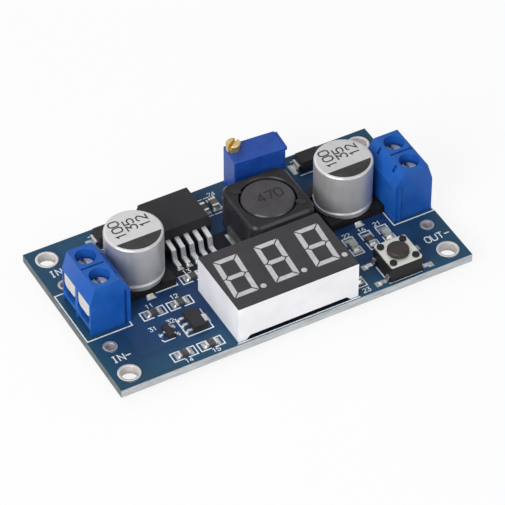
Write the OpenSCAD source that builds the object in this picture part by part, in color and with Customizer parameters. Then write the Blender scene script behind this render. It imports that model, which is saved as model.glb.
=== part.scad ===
// Step-up converter module with a three digit meter, in millimetres.
// The origin is the centre of the board at the level of the pin ends, X runs from input to output, Z is up.

/* [Circuit board] */
// Thickness of the laminate
board_t = 1.6; // [1:0.1:2.4]
// Reach of the pins below the laminate
pin_reach = 1.5; // [1.3:0.1:3]
// Diameter of the fixing holes
hole_d = 3; // [2:0.1:3.4]
// Distance of the fixing holes from the edges of the board
hole_inset = 3; // [2.5:0.1:4]
// Width of the bare ring round a plated hole
ring_w = 0.65; // [0.3:0.05:0.8]
// Rise of a bare ring above the laminate
ring_t = 0.05; // [0.03:0.01:0.1]
// Diameter of the holes in the wire pads
wire_hole_d = 1.5; // [1:0.1:1.8]
// Distance from the end of a terminal block to the middle of its wire pad
wire_pad_gap = 3.1; // [2.6:0.1:4]

/* [Gaps along the board, input to output] */
// Board edge to the wire side of the input block
in_margin = 1.35; // [0.2:0.05:3]
// Input block to the input capacitor
in_cap_gap = 0.25; // [0.2:0.05:2]
// Input capacitor to the regulator
cap_reg_gap = 0.75; // [0.3:0.05:3]
// Regulator to the inductor
reg_ind_gap = 2.67; // [2.6:0.01:6]
// Inductor to the output capacitor
ind_cap_gap = 3.08; // [1:0.01:6]
// Output capacitor to the output block
out_cap_gap = 0.25; // [0.2:0.05:2]
// Wire side of the output block to the board edge
out_margin = 0.25; // [0:0.05:3]

/* [Gaps across the board, front to back] */
// Board edge to the display
front_margin = 0.5; // [0.2:0.05:2]
// Display to the inductor
disp_ind_gap = 0.77; // [0.5:0.01:3]
// Inductor to the trimmer
ind_trim_gap = 1.43; // [0.8:0.01:4]
// Trimmer to the board edge
back_margin = 2.3; // [1:0.1:4]

/* [Terminal blocks] */
// Distance between the two poles
pole_pitch = 5.08; // [4.9:0.02:6]
// Depth of a block from its back to its wire side
block_d = 7.4; // [7.2:0.1:9]
// Height of a block
block_h = 10.3; // [10:0.1:12]
// Set-back of the sloped wire side at the top
slope_d = 1; // [0.5:0.1:1.3]
// Height of the sloped part of the wire side
slope_h = 3.35; // [3:0.05:3.5]
// Set-back of the bevel at the top of the back
bevel_d = 1.85; // [1:0.05:2]
// Height of the bevel at the top of the back
bevel_h = 2.8; // [1.5:0.1:3.5]
// Wall behind the chambers
block_back_wall = 1.35; // [1.3:0.05:1.6]
// Wall in front of the chambers
block_front_wall = 0.9; // [0.7:0.05:1]
// Wall between a chamber and the edge of its pole
block_side_wall = 0.35; // [0.3:0.01:0.4]
// Height of the sill of a wire entry
entry_z = 1.9; // [1.75:0.05:1.9]
// Radius of the lower corners of a wire entry
entry_r = 1; // [0.5:0.1:1.2]
// Diameter of the screw wells
well_d = 3.55; // [3.5:0.05:3.8]
// Distance of the screws from the wire side
screw_from_front = 3.15; // [3:0.05:3.4]
// Width of the interlocking groove at its mouth
lock_w = 0.45; // [0.3:0.05:0.5]
// Depth of the interlocking groove
lock_d = 0.35; // [0.2:0.05:0.4]
// Distance of the interlocking groove from the back
lock_from_back = 0.9; // [0.7:0.05:0.9]
// Input block, distance behind the middle of the board
in_block_y = 0.45; // [0:0.05:0.6]
// Output block, distance behind the middle of the board
out_block_y = 0.15; // [0:0.05:0.6]

/* [Clamps] */
// Thickness of the contact strip
contact_t = 0.5; // [0.4:0.05:0.6]
// Height of the contact floor above the board
contact_z = 1.2; // [1:0.05:1.3]
// Height of the threaded bridge above the board
nut_z = 4.2; // [4.1:0.05:4.25]
// Thickness of the threaded bridge
nut_t = 1; // [0.8:0.05:1]
// Diameter of the screw's shank
shank_d = 2.4; // [2:0.05:2.6]
// Diameter of the screw's head
head_d = 3.2; // [2.8:0.05:3.3]
// Height of the screw's head
head_h = 1.2; // [1:0.05:1.25]
// Depth of the head below the top of the block
head_sink = 1.8; // [1.6:0.05:2.1]
// Width of the screw's slot
slot_w = 0.6; // [0.4:0.05:0.8]
// Depth of the screw's slot
slot_depth = 0.7; // [0.4:0.05:0.9]
// Thickness of the wire guard
guard_t = 0.3; // [0.2:0.05:0.35]
// Height of the wire guard's foot above the board
guard_z = 3.6; // [3.6:0.05:3.7]
// Length of the wire guard's foot
guard_foot = 4.4; // [4:0.1:4.6]
// Diameter of the terminal pins
term_pin_d = 1; // [0.7:0.05:1.2]

/* [Capacitors] */
// Diameter of a can
can_d = 10.1; // [8:0.1:10.1]
// Height of a capacitor above the board
cap_h = 10.5; // [8:0.1:14]
// Side of a square base
cap_base = 10.2; // [10.2:0.1:12]
// Thickness of a base under the can
cap_plate = 1; // [0.6:0.05:1.5]
// Height of the corner posts round the can
cap_post = 0.5; // [0.2:0.05:1.2]
// Radius of the rolled groove
can_groove_r = 0.5; // [0.3:0.05:0.8]
// Height of the groove above the foot of the can
can_groove_z = 1.5; // [1.2:0.05:2.5]
// Radius of the can's edges
can_edge = 0.4; // [0.2:0.05:0.8]
// Width of a capacitor terminal
cap_lead_w = 1.1; // [0.6:0.1:2]
// Thickness of a capacitor terminal
cap_lead_t = 0.2; // [0.1:0.05:0.3]
// Reach of a capacitor terminal past the base
cap_lead_out = 0.6; // [0.3:0.1:1]
// Input capacitor, distance behind the middle of the board
in_cap_y = 4.5; // [3:0.1:6]
// Output capacitor, distance behind the middle of the board
out_cap_y = 3.05; // [2:0.05:6]

/* [Regulator] */
// Width of the regulator
reg_w = 10; // [9:0.1:12]
// Length of the moulded body
reg_l = 8.6; // [8:0.1:10]
// Height of the moulded body
reg_h = 4.5; // [4:0.1:5.5]
// Draft of the moulded faces, from foot to top
reg_draft = 0.35; // [0.1:0.05:0.6]
// Thickness of the heat tab
tab_t = 1.3; // [1:0.05:1.5]
// Reach of the heat tab behind the body
tab_out = 1.2; // [0.8:0.1:1.6]
// Set-back of the heat tab's slug from the sides of the body
tab_slug_in = 1.2; // [0.8:0.1:2]
// Set-back of the heat tab's flange from the sides of the body
tab_flange_in = 0.3; // [0:0.05:0.6]
// Distance of the heat tab from the board edge
tab_margin = 1.2; // [0.5:0.1:1.6]
// Distance between the leads
reg_pitch = 1.7; // [1.5:0.01:1.9]
// Number of leads
reg_leads_n = 5; // [3:2:5]
// Width of a lead
reg_lead_w = 0.8; // [0.6:0.05:1]
// Thickness of a lead
reg_lead_t = 0.5; // [0.3:0.05:0.6]
// Height of the leads where they leave the body
reg_lead_z = 2.8; // [2:0.1:3.2]
// Straight length of a lead before its bend
reg_shoulder = 2.4; // [1.5:0.1:2.6]
// Full reach of a lead
reg_reach = 4.4; // [3.5:0.1:4.6]

/* [Inductor] */
// Side of the ferrite shield
ind_w = 12.2; // [11:0.1:14]
// Height of the inductor
ind_h = 7.8; // [6:0.1:10]
// Corner radius of the shield
ind_corner = 1.8; // [0.8:0.1:2.2]
// Bevel round the top of the shield
ind_bevel = 0.4; // [0.2:0.05:0.6]
// Diameter of the drum core
core_d = 9.3; // [8.5:0.1:9.8]
// Gap between the core and the shield
core_gap = 0.3; // [0.15:0.05:0.4]
// Bevel round the core and round the mouth of the shield
core_bevel = 0.2; // [0.1:0.05:0.3]
// Thickness of the drum's flanges
flange_t = 1.3; // [0.8:0.1:2]
// Diameter of the drum's post
post_d = 5; // [4:0.1:6]
// Depth of the drum below the rim of the shield
core_sink = 0.15; // [0:0.05:0.5]
// Thickness of the shield's floor
ind_floor = 0.9; // [0.6:0.1:1.4]
// Thickness of a soldering terminal
ind_term_t = 0.3; // [0.2:0.05:0.5]
// Width of a soldering terminal
ind_term_w = 5; // [3:0.1:7]
// Height of a soldering terminal up the side
ind_term_h = 2; // [1:0.1:3]

/* [Trimmer] */
// Length of the trimmer
trim_w = 9.5; // [9:0.1:11]
// Depth of the trimmer
trim_d = 4.8; // [4.6:0.1:6]
// Height of the trimmer
trim_h = 10; // [8:0.1:12]
// Height of the feet
trim_foot = 0.4; // [0.2:0.05:0.8]
// Bevel round the top of the trimmer
trim_bevel = 0.15; // [0.1:0.05:0.25]
// Turn of the trimmer on the board
trim_turn = -4; // [-6:1:6]
// Offset of the trimmer from the middle of the inductor
trim_shift = 2.88; // [1:0.01:3.5]
// Diameter of the adjusting screw's head
adjust_d = 2.5; // [2:0.05:2.5]
// Height of the adjusting screw's head
adjust_h = 1.4; // [1:0.1:2]
// Distance of the adjusting screw from the two nearest sides
adjust_inset = 1.3; // [1.25:0.05:1.6]
// Diameter of the adjusting screw's neck
neck_d = 1.5; // [1.2:0.05:1.7]
// Depth of the adjusting screw's neck in the housing
neck_depth = 3; // [2:0.1:4]
// Depth of the potting in the foot
trim_pot = 1; // [0.6:0.1:2]
// Wall round the potting
trim_wall = 0.6; // [0.4:0.05:0.8]

/* [Display] */
// Width of the display
disp_w = 22.5; // [22:0.1:24]
// Depth of the display
disp_d = 14; // [13.6:0.1:16]
// Height of the display
disp_h = 7.5; // [6:0.1:9]
// Thickness of the side walls
disp_wall = 0.9; // [0.7:0.05:1]
// Thickness of the front plate
disp_plate = 1.2; // [0.8:0.1:2]
// Thickness of the dark face layer
face_t = 0.1; // [0.05:0.01:0.2]
// Width of the white rim left round the face
face_rim = 0.12; // [0.05:0.01:0.4]
// Height of the openings under the long walls
foot_gap = 0.8; // [0.5:0.05:1.2]
// Length of the feet at the ends of the long walls
foot_l = 1.4; // [1:0.1:3]
// Mean distance of the outer digits from the ends of the display
digit_margin = 1.4; // [1.3:0.05:1.5]
// Shift of the digits to the left, which leaves room for the points
digit_shift = 0.25; // [0.1:0.05:0.3]
// Shift of the digits to the back
digit_rise = 0.15; // [0:0.05:0.3]
// Height of a digit
digit_h = 9.15; // [8.8:0.05:9.4]
// Width of a digit
digit_w = 4.5; // [4.3:0.05:4.6]
// Width of a segment
seg_w = 0.9; // [0.8:0.05:1]
// Gap between neighbouring segments
seg_gap = 0.22; // [0.15:0.01:0.28]
// Slant of the digits
digit_slant = 4.5; // [0:0.5:6]
// Diameter of a decimal point
point_d = 1.05; // [0.8:0.05:1.1]
// Distance from a digit to its decimal point
point_gap = 0.95; // [0.9:0.05:1]
// Distance of the rows of pins from the long sides
disp_row_inset = 1.92; // [1.5:0.02:2.2]

/* [Push button] */
// Side of the button's square base
key_w = 6; // [5.8:0.1:6.6]
// Height of the base
key_h = 3.2; // [3:0.1:4]
// Thickness of the cover plate
cover_t = 0.3; // [0.2:0.05:0.5]
// Diameter of the plunger
plunger_d = 3.75; // [3:0.05:3.8]
// Rise of the plunger above the cover plate
plunger_rise = 0.8; // [0.5:0.1:2]
// Width of the collar that keeps the plunger in
collar_w = 0.3; // [0.25:0.05:0.35]
// Thickness of the collar
collar_t = 0.5; // [0.4:0.05:0.7]
// Travel of the plunger
key_travel = 0.25; // [0.15:0.05:0.35]
// Diameter of the rivets in the corners
rivet_d = 1.25; // [0.8:0.05:1.25]
// Distance of the rivets from the sides
rivet_inset = 0.85; // [0.8:0.05:0.9]
// Height of the rivet heads
rivet_h = 0.25; // [0.15:0.05:0.4]
// Distance between the two leads on one side
key_lead_pitch = 4.5; // [4:0.1:4.8]
// Reach of the leads past the base
key_lead_out = 1.5; // [1:0.1:1.6]
// Distance of the button from the front edge of the board
key_margin = 0.55; // [0.3:0.05:1.5]
// Distance from the display to the middle of the button
key_from_disp = 9.3; // [9:0.1:10.5]

/* [Small parts] */
// Length of a diode body
diode_l = 4.5; // [4:0.1:5]
// Width of a diode body
diode_w = 3.2; // [2.4:0.1:3.6]
// Height of a diode
diode_h = 2.3; // [2:0.05:2.6]
// Length of a chip part
chip_l = 2; // [1.6:0.05:2.2]
// Width of a chip part
chip_w = 1.25; // [0.8:0.05:1.4]
// Height of a chip resistor
res_h = 0.55; // [0.4:0.05:0.7]
// Height of a chip capacitor
mlcc_h = 0.9; // [0.6:0.05:1.2]
// Height of an indicator lamp
lamp_h = 0.8; // [0.6:0.05:1.1]
// Length of the plated end of a chip part
chip_end = 0.38; // [0.25:0.01:0.45]
// Spacing of the chip parts in the rows beside the display
chip_step = 4.95; // [4.6:0.05:5.4]
// Distance from the display to the nearest chip part on its left
chip_from_disp = 4.05; // [3.5:0.05:4.5]
// Distance of the back row of chip parts from the middle of the display
back_row = 5.72; // [5.2:0.02:5.9]
// Distance of the front row of chip parts from the middle of the display
front_row = 5; // [4.6:0.1:5.6]
// Distance of the lamps' row from the middle of the display
lamp_row = 3.7; // [3.4:0.1:4]
// Distance of the left lamp from the middle of the button
lamp_left = 4.1; // [3.8:0.1:4.2]
// Distance of the right lamp from the middle of the button
lamp_right = 2.35; // [2.2:0.05:2.8]
// Distance of the lamps' resistor from the middle of the button
lamp_res = 0.85; // [0.6:0.05:1]
// Gap between the display and the chip part behind its left end
end_chip_gap = 3.2; // [2.8:0.1:3.4]
// Distance of that chip part from the left end of the display
end_chip_in = 0.65; // [0.5:0.05:0.8]
// Gap between the regulator and the chip resistor on its right
side_chip_gap = 1.85; // [1.4:0.05:1.9]
// Distance between that resistor and the chip capacitor beside it
side_chip_step = 1.95; // [1.8:0.05:2]
// Distance of these two from the middle of the regulator
side_chip_back = 2.1; // [1:0.1:3]
// Gap between the display and the chip capacitor on its right
filter_gap = 1.7; // [1.5:0.1:2.2]
// Distance of that chip capacitor from the middle of the display
filter_row = 3.25; // [3:0.05:3.6]
// Distance of the diodes from the back edge of the board
diode_margin = 1.8; // [1.4:0.1:2.4]
// Distance of the meter supply from the middle of the display
supply_row = 0.6; // [0.4:0.1:0.9]
// Distance of the transistor from the middle of the display
tran_row = 0.5; // [0.2:0.1:0.9]

/* [Fits] */
// Clearance all round a turning or sliding round part
run_fit = 0.05; // [0.02:0.01:0.1]
// Clearance between parts that are pressed or glued together
seat_fit = 0.02; // [0.01:0.01:0.03]
// Clearance of a sliding guard from its neighbours
guard_fit = 0.12; // [0.08:0.01:0.14]
// Clearance of a pin in its plated hole
pin_fit = 0.2; // [0.1:0.01:0.25]

/* [Hidden] */

$fn = 48;
// Overshoot of every cut
cut = 0.1;
// The two ends of the board and the two poles of a block
IN = -1;
OUT = 1;
NEGATIVE = -1;
POSITIVE = 1;
SIGNS = [-1, 1];

// Board size, from the rows of parts that it carries
board_l = in_margin + 2 * block_d + in_cap_gap + 2 * cap_base + cap_reg_gap + reg_w + reg_ind_gap + ind_w
    + ind_cap_gap + out_cap_gap + out_margin;
board_w = front_margin + disp_d + disp_ind_gap + ind_w + ind_trim_gap + trim_d + back_margin;
board_top = pin_reach + board_t;

// Places along the board
in_block_x = -board_l / 2 + in_margin + block_d;
in_cap_x = in_block_x + in_cap_gap + cap_base / 2;
reg_x = in_cap_x + cap_base / 2 + cap_reg_gap + reg_w / 2;
ind_x = reg_x + reg_w / 2 + reg_ind_gap + ind_w / 2;
out_cap_x = ind_x + ind_w / 2 + ind_cap_gap + cap_base / 2;
out_block_x = out_cap_x + cap_base / 2 + out_cap_gap;
trim_x = ind_x + trim_shift;
disp_x = 0;
disp_left = disp_x - disp_w / 2;
disp_right = disp_x + disp_w / 2;
key_x = disp_right + key_from_disp;

// Places across the board
disp_y = -board_w / 2 + front_margin + disp_d / 2;
ind_y = disp_y + disp_d / 2 + disp_ind_gap + ind_w / 2;
trim_y = ind_y + ind_w / 2 + ind_trim_gap + trim_d / 2;
reg_y = board_w / 2 - tab_margin - tab_out - reg_l / 2;
key_y = -board_w / 2 + key_margin + key_w / 2;
diode_y = board_w / 2 - diode_margin - diode_w / 2;

// Terminal blocks, measured from the back of a block
block_l = 2 * pole_pitch;
chamber_w = pole_pitch - 2 * block_side_wall;
chamber_top = block_h - slope_h;
screw_x = block_d - screw_from_front;
entry_lip = 0.05;
entry_w = chamber_w - 2 * entry_lip;
lintel_h = 0.25;
toe_d = 0.5;
toe_h = 1.1;
slit_l = 4.2;
slit_w = 0.35;
slit_depth = 0.6;
probe_l = 1.3;
probe_w = 0.7;
probe_depth = 0.6;
probe_place = 0.75;
lock_flare = 0.12;
lock_h = block_h - bevel_h;
contact_out = block_d - block_front_wall - guard_fit;
guard_inset = 0.15;
guard_out = block_d - guard_inset;
guard_in = guard_out - guard_t;
guard_top = chamber_top - lintel_h - guard_fit;
guard_foot_w = entry_w - 2 * entry_r;
term_pin_x = block_d / 2;
head_edge = 0.2;

// Holes and pins, each as place and pin diameter
pad_x = board_l / 2 - hole_inset;
pad_y = pole_pitch + wire_pad_gap;
fixing_holes = [for (x = SIGNS, y = SIGNS) [x * pad_x, y * (board_w / 2 - hole_inset)]];
wire_pads = [for (x = SIGNS, y = SIGNS) [x * pad_x, y * pad_y]];
slim_pin_d = 0.5;
pin_step = 2.54;
trim_pin_y = -0.6;
trim_pin_n = 3;
disp_pin_n = 6;
disp_row_gap = disp_d - 2 * disp_row_inset;
term_pins = [for (s = SIGNS, p = SIGNS) [block_x(s) + s * term_pin_x,
    block_y(s) + p * pole_pitch / 2, term_pin_d]];
trim_pins = [for (i = [0 : trim_pin_n - 1]) concat(turned([(i - (trim_pin_n - 1) / 2) * pin_step, trim_pin_y],
    trim_turn) + [trim_x, trim_y], slim_pin_d)];
disp_pins = [for (row = SIGNS, i = [0 : disp_pin_n - 1]) if (row < 0 || i < disp_pin_n - 1)
    [disp_x + (i - (disp_pin_n - 1) / 2) * pin_step, disp_y + row * disp_row_gap / 2, slim_pin_d]];
all_pins = concat(term_pins, trim_pins, disp_pins);
joint_w = 0.7;
joint_tip = 0.12;
joint_h = 1.1;
joint_waist_w = 0.32;
joint_waist_h = 0.4;

// Digits, each a list of seven outlines about the middle of the digit
digit_pitch = (disp_w - 2 * digit_margin - digit_w) / 2;
digit_x = digit_w / 2;
digit_y = digit_h / 2;
mitre = seg_gap / sqrt(2);
end_segment = [[mitre - digit_x, digit_y], [digit_x - mitre, digit_y],
    [digit_x - seg_w - mitre, digit_y - seg_w], [seg_w + mitre - digit_x, digit_y - seg_w]];
side_segment = [[digit_x, digit_y - mitre], [digit_x, seg_gap / 2],
    [digit_x - seg_w / 2 + mitre - seg_gap / 2, seg_gap / 2], [digit_x - seg_w, seg_w / 2 + mitre],
    [digit_x - seg_w, digit_y - seg_w - mitre]];
tip_x = digit_x - seg_w / 2 - mitre;
middle_segment = [[-tip_x, 0], [seg_w / 2 - tip_x, seg_w / 2], [tip_x - seg_w / 2, seg_w / 2], [tip_x, 0],
    [tip_x - seg_w / 2, -seg_w / 2], [seg_w / 2 - tip_x, -seg_w / 2]];
segments = [
    placed(middle_segment, 1, 1),
    for (y = SIGNS) placed(end_segment, 1, y),
    for (x = SIGNS, y = SIGNS) placed(side_segment, x, y),
];
point_at = slanted([digit_x + point_gap, seg_w / 2 - digit_y]);
disp_top = disp_h - face_t;
disp_pot_sink = 0.05;
disp_back = foot_gap + disp_pot_sink;

// Push button
key_floor = 0.8;
key_bore_d = plunger_d + 2 * collar_w + 2 * run_fit;
dome_d = 4;
dome_rise = 0.6;
dome_t = 0.1;
collar_z = key_h - seat_fit - collar_t;
nib_d = 1.6;
nib_z = key_floor + dome_rise + key_travel + run_fit;
key_lead_w = 0.8;
key_lead_t = 0.25;
key_lead_z = 1.2;
key_lead_shoulder = 0.35;
key_lead_run = 0.3;

// Small packages: meter chip under the board, meter supply and transistor beside the display
mcu_l = 6.5;
mcu_w = 4.4;
mcu_h = 1.1;
mcu_pitch = 0.65;
mcu_side_n = 10;
mcu_lead_w = 0.25;
mcu_lead_t = 0.14;
mcu_lead_out = 1;
supply_l = 2.5;
supply_w = 4.5;
supply_h = 1.3;
supply_pitch = 1.5;
supply_t = 0.4;
supply_out = 0.9;
tran_l = 1.3;
tran_w = 2.9;
tran_h = 1;
tran_pitch = 1.9;
tran_lead_w = 0.42;
tran_lead_t = 0.15;
tran_lead_out = 0.65;
chip_shoulder = 0.22;
chip_run = 0.18;
package_draft = 0.12;
package_lift = 0.08;
diode_lift = 0.25;
diode_lead_w = 2;
diode_lead_t = 0.2;
diode_lead_out = 0.45;
diode_lead_in = 1;

// Chip parts, each as place and turn
near_x = disp_left - chip_from_disp;
far_x = near_x - chip_step;
chip_back_y = disp_y + back_row;
chip_front_y = disp_y - front_row;
lamp_y = disp_y + lamp_row;
side_chip_x = reg_x + reg_w / 2 + side_chip_gap;
side_chip_y = reg_y + side_chip_back;
resistors = [
    [far_x, chip_back_y, 0], [near_x, chip_back_y, 0],
    [far_x, chip_front_y, 0], [near_x, chip_front_y, 0],
    [disp_left + end_chip_in, disp_y + disp_d / 2 + end_chip_gap, 0],
    [key_x - lamp_res, lamp_y, 90],
    [side_chip_x, side_chip_y, 90],
];
chip_capacitors = [
    [side_chip_x + side_chip_step, side_chip_y, 90],
    [disp_right + filter_gap, disp_y - filter_row, 90],
];
lamps = [[key_x - lamp_left, lamp_y, 90], [key_x + lamp_right, lamp_y, 90]];

function turned(p, a) = [p.x * cos(a) - p.y * sin(a), p.x * sin(a) + p.y * cos(a)];

function slanted(p) = [p.x + p.y * tan(digit_slant), p.y];

// Slanted outline of a segment, mirrored by the signs x and y
function placed(outline, x, y) = [for (p = outline) slanted([x * p.x, y * p.y])];

// Side outline of a bent lead of thickness t: out at height h with a dip, down over a run, along the board
function gull(h, t, shoulder, run, reach, dip = 0) =
    let (low = h - dip, m = t * tan(atan2(low - t, run) / 2))
    [[0, h], [shoulder, low], [shoulder + run, t], [reach, t], [reach, 0], [shoulder + run - m, 0],
        [shoulder - m, low - t], [0, h - t]];

function block_x(side) = side == IN ? in_block_x : out_block_x;

function block_y(side) = side == IN ? in_block_y : out_block_y;

module on_board(x, y, turn = 0) {
    translate([x, y, board_top]) rotate([0, 0, turn]) children();
}

module under_board(x, y) {
    translate([x, y, pin_reach]) mirror([0, 0, 1]) children();
}

// Frame of a block: X from its back to its wire side
module at_block(side) {
    on_board(block_x(side), block_y(side), side == IN ? 180 : 0) children();
}

module at_pole(side, pole) {
    at_block(side) translate([0, side * pole * pole_pitch / 2, 0]) children();
}

// Solid of the given width with a side outline in X and Z
module strip(points, width) {
    rotate([90, 0, 0]) linear_extrude(width, center = true) polygon(points);
}

module rounded_square(l, w, r) {
    square([l - 2 * r, w], center = true);
    square([l, w - 2 * r], center = true);
    for (x = SIGNS, y = SIGNS) translate([x * (l / 2 - r), y * (w / 2 - r)]) circle(r);
}

// Upright block with rounded corners and a bevel round its top
module eased_block(l, w, h, r, bevel) {
    strip(eased_outline(l, h, bevel), w - 2 * r);
    rotate([0, 0, 90]) strip(eased_outline(w, h, bevel), l - 2 * r);
    for (x = SIGNS, y = SIGNS) translate([x * (l / 2 - r), y * (w / 2 - r), 0])
        rotate_extrude() polygon([[0, 0], [r, 0], [r, h - bevel], [r - bevel, h], [0, h]]);
}

function eased_outline(l, h, bevel) = [[-l / 2, 0], [l / 2, 0], [l / 2, h - bevel], [l / 2 - bevel, h],
    [bevel - l / 2, h], [-l / 2, h - bevel]];

// Moulded package: widest at the parting height, drafted above and below it
module moulded(l, w, h, draft, part_z) {
    low = draft * part_z / h;
    intersection() {
        strip(mould_outline(l, h, draft, low, part_z), w);
        rotate([0, 0, 90]) strip(mould_outline(w, h, draft, low, part_z), l);
    }
}

function mould_outline(l, h, draft, low, part_z) = [[-l / 2 + low, 0], [-l / 2, part_z], [-l / 2 + draft, h],
    [l / 2 - draft, h], [l / 2, part_z], [l / 2 - low, 0]];

module circuit_board() {
    color("midnightblue") difference() {
        union() {
            translate([-board_l / 2, -board_w / 2, pin_reach]) cube([board_l, board_w, board_t]);
            for (p = fixing_holes) ring(p, hole_d);
            for (p = wire_pads) ring(p, wire_hole_d);
        }
        for (p = fixing_holes) board_hole(p, hole_d);
        for (p = wire_pads) board_hole(p, wire_hole_d);
        for (p = all_pins) board_hole(p, p[2] + 2 * pin_fit);
    }
}

module ring(p, d) {
    translate([p.x, p.y, pin_reach - ring_t]) cylinder(d = d + 2 * ring_w, h = board_t + 2 * ring_t);
}

module board_hole(p, d) {
    translate([p.x, p.y, pin_reach - ring_t - cut]) cylinder(d = d, h = board_t + 2 * (ring_t + cut));
}

module solder_joints() {
    color("silver") for (p = all_pins) translate([p.x, p.y, 0]) rotate_extrude() solder_outline(p[2] / 2);
}

module solder_outline(pin_r) {
    inner = pin_r + seat_fit;
    outer = pin_r + pin_fit - seat_fit;
    polygon([[inner, pin_reach - joint_h], [inner + joint_tip, pin_reach - joint_h],
        [outer + joint_waist_w, pin_reach - joint_waist_h], [outer + joint_w, pin_reach - seat_fit],
        [outer, pin_reach - seat_fit], [outer, board_top], [inner, board_top]]);
}

module block_housing(side) {
    color("royalblue") at_block(side) {
        difference() {
            strip([[0, 0], [block_d, 0], [block_d, chamber_top], [block_d - slope_d, block_h],
                [bevel_d, block_h], [0, block_h - bevel_h]], block_l);
            for (y = SIGNS) translate([0, y * pole_pitch / 2, 0]) pole_cuts();
            translate([screw_x - slit_l / 2, -slit_w / 2, block_h - slit_depth])
                cube([slit_l, slit_w, slit_depth + cut]);
            translate([lock_from_back, block_l / 2, -cut]) lock_prism(lock_w, lock_d, lock_h + cut);
        }
        translate([lock_from_back, -block_l / 2, 0])
            lock_prism(lock_w - 2 * run_fit, lock_d - run_fit, lock_h);
    }
}

// Everything that one pole takes out of a housing
module pole_cuts() {
    translate([block_back_wall, -chamber_w / 2, -cut])
        cube([block_d - block_back_wall - block_front_wall, chamber_w, chamber_top + cut]);
    translate([block_d - block_front_wall - cut, 0, 0])
        entry_shape(block_front_wall + 2 * cut, entry_z, chamber_top - lintel_h, entry_w);
    translate([screw_x, 0, chamber_top - cut]) cylinder(d = well_d, h = slope_h + 2 * cut);
    translate([block_d - toe_d, -entry_w / 2, -cut]) cube([toe_d + cut, entry_w, toe_h + cut]);
    translate([probe_place * bevel_d, 0, block_h - (1 - probe_place) * bevel_h])
        rotate([0, -atan2(bevel_h, bevel_d), 0]) cube([probe_l, probe_w, 2 * probe_depth], center = true);
}

// Upright form across X with rounded lower corners
module entry_shape(depth, z, top, w) {
    rotate([90, 0, 90]) linear_extrude(depth) {
        translate([-w / 2, z + entry_r]) square([w, top - z - entry_r]);
        translate([entry_r - w / 2, z]) square([w - 2 * entry_r, 2 * entry_r]);
        for (y = SIGNS) translate([y * (w / 2 - entry_r), z + entry_r]) circle(entry_r);
    }
}

// Dovetail that opens towards -Y
module lock_prism(w, d, h) {
    linear_extrude(h) polygon([[-w / 2, 0], [w / 2, 0], [w / 2 + lock_flare, -d], [-w / 2 - lock_flare, -d]]);
}

module block_contacts(side) {
    back = block_back_wall + seat_fit;
    color("goldenrod") for (pole = SIGNS) at_pole(side, pole) {
        difference() {
            strip([[back, contact_z], [contact_out, contact_z], [contact_out, contact_z + contact_t],
                [back + contact_t, contact_z + contact_t], [back + contact_t, nut_z], [contact_out, nut_z],
                [contact_out, nut_z + nut_t], [back, nut_z + nut_t]], chamber_w - 2 * seat_fit);
            translate([screw_x, 0, nut_z - cut]) cylinder(d = shank_d + 2 * run_fit, h = nut_t + 2 * cut);
        }
        translate([term_pin_x, 0, -board_top])
            cylinder(d = term_pin_d, h = board_top + contact_z + contact_t / 2);
    }
}

module clamp_screw(side, pole) {
    foot = guard_z + guard_t + seat_fit;
    top = block_h - head_sink;
    head = top - head_h;
    color("lightgray") at_pole(side, pole) translate([screw_x, 0, 0]) difference() {
        rotate_extrude() polygon([[0, foot], [shank_d / 2, foot], [shank_d / 2, head], [head_d / 2, head],
            [head_d / 2, top - head_edge], [head_d / 2 - head_edge, top], [0, top]]);
        translate([-slot_w / 2, -head_d / 2 - cut, top - slot_depth])
            cube([slot_w, head_d + 2 * cut, slot_depth + cut]);
    }
}

// Plate that fills the top of a wire entry, with a foot under the screw
module wire_guard(side, pole) {
    color("silver") at_pole(side, pole) {
        translate([guard_in, 0, 0]) entry_shape(guard_t, guard_z, guard_top, entry_w - 2 * guard_fit);
        translate([guard_out - guard_foot, -guard_foot_w / 2, guard_z])
            cube([guard_foot - guard_t / 2, guard_foot_w, guard_t]);
    }
}

module capacitor_can(x, y) {
    r = can_d / 2;
    h = cap_h - cap_plate;
    color("gainsboro") on_board(x, y) translate([0, 0, cap_plate]) rotate_extrude() difference() {
        union() {
            square([r - can_edge, h]);
            translate([0, can_edge]) square([r, h - 2 * can_edge]);
            for (z = [can_edge, h - can_edge]) translate([r - can_edge, z]) circle(can_edge);
        }
        translate([r + can_groove_r / 3, can_groove_z]) circle(can_groove_r);
    }
}

module capacitor_base(x, y) {
    b = cap_base / 2;
    corner = 1.6;
    post_w = 2.4;
    color("dimgray") on_board(x, y) difference() {
        intersection() {
            linear_extrude(cap_plate + cap_post) polygon([[-b, -b], [b, -b], [b, b - corner],
                [b - corner, b], [corner - b, b], [-b, b - corner]]);
            union() {
                translate([-b, -b, 0]) cube([cap_base, cap_base, cap_plate]);
                for (sx = SIGNS, sy = SIGNS) translate([sx * (b - post_w / 2), sy * (b - post_w / 2), 0])
                    linear_extrude(cap_plate + cap_post) square(post_w, center = true);
            }
        }
        translate([0, 0, cap_plate]) cylinder(d = can_d + 2 * seat_fit, h = cap_post + cut);
        for (s = SIGNS) rotate([0, 0, 90 * s])
            cap_lead(cap_lead_w + 2 * seat_fit, cap_lead_t + seat_fit, cut);
    }
}

// Flat terminal along +X, from near the middle of the base to past its side
module cap_lead(w, t, sink) {
    start = 1.2;
    translate([start - seat_fit, -w / 2, -sink]) cube([cap_base / 2 + cap_lead_out - start, w, t + sink]);
}

module capacitor_terminals(x, y) {
    color("silver") on_board(x, y) for (s = SIGNS) rotate([0, 0, 90 * s]) cap_lead(cap_lead_w, cap_lead_t, 0);
}

module regulator_body() {
    color("#343236") on_board(reg_x, reg_y) difference() {
        moulded(reg_w, reg_l, reg_h, reg_draft, reg_lead_z - reg_lead_t / 2);
        tab_solid();
    }
}

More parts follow.
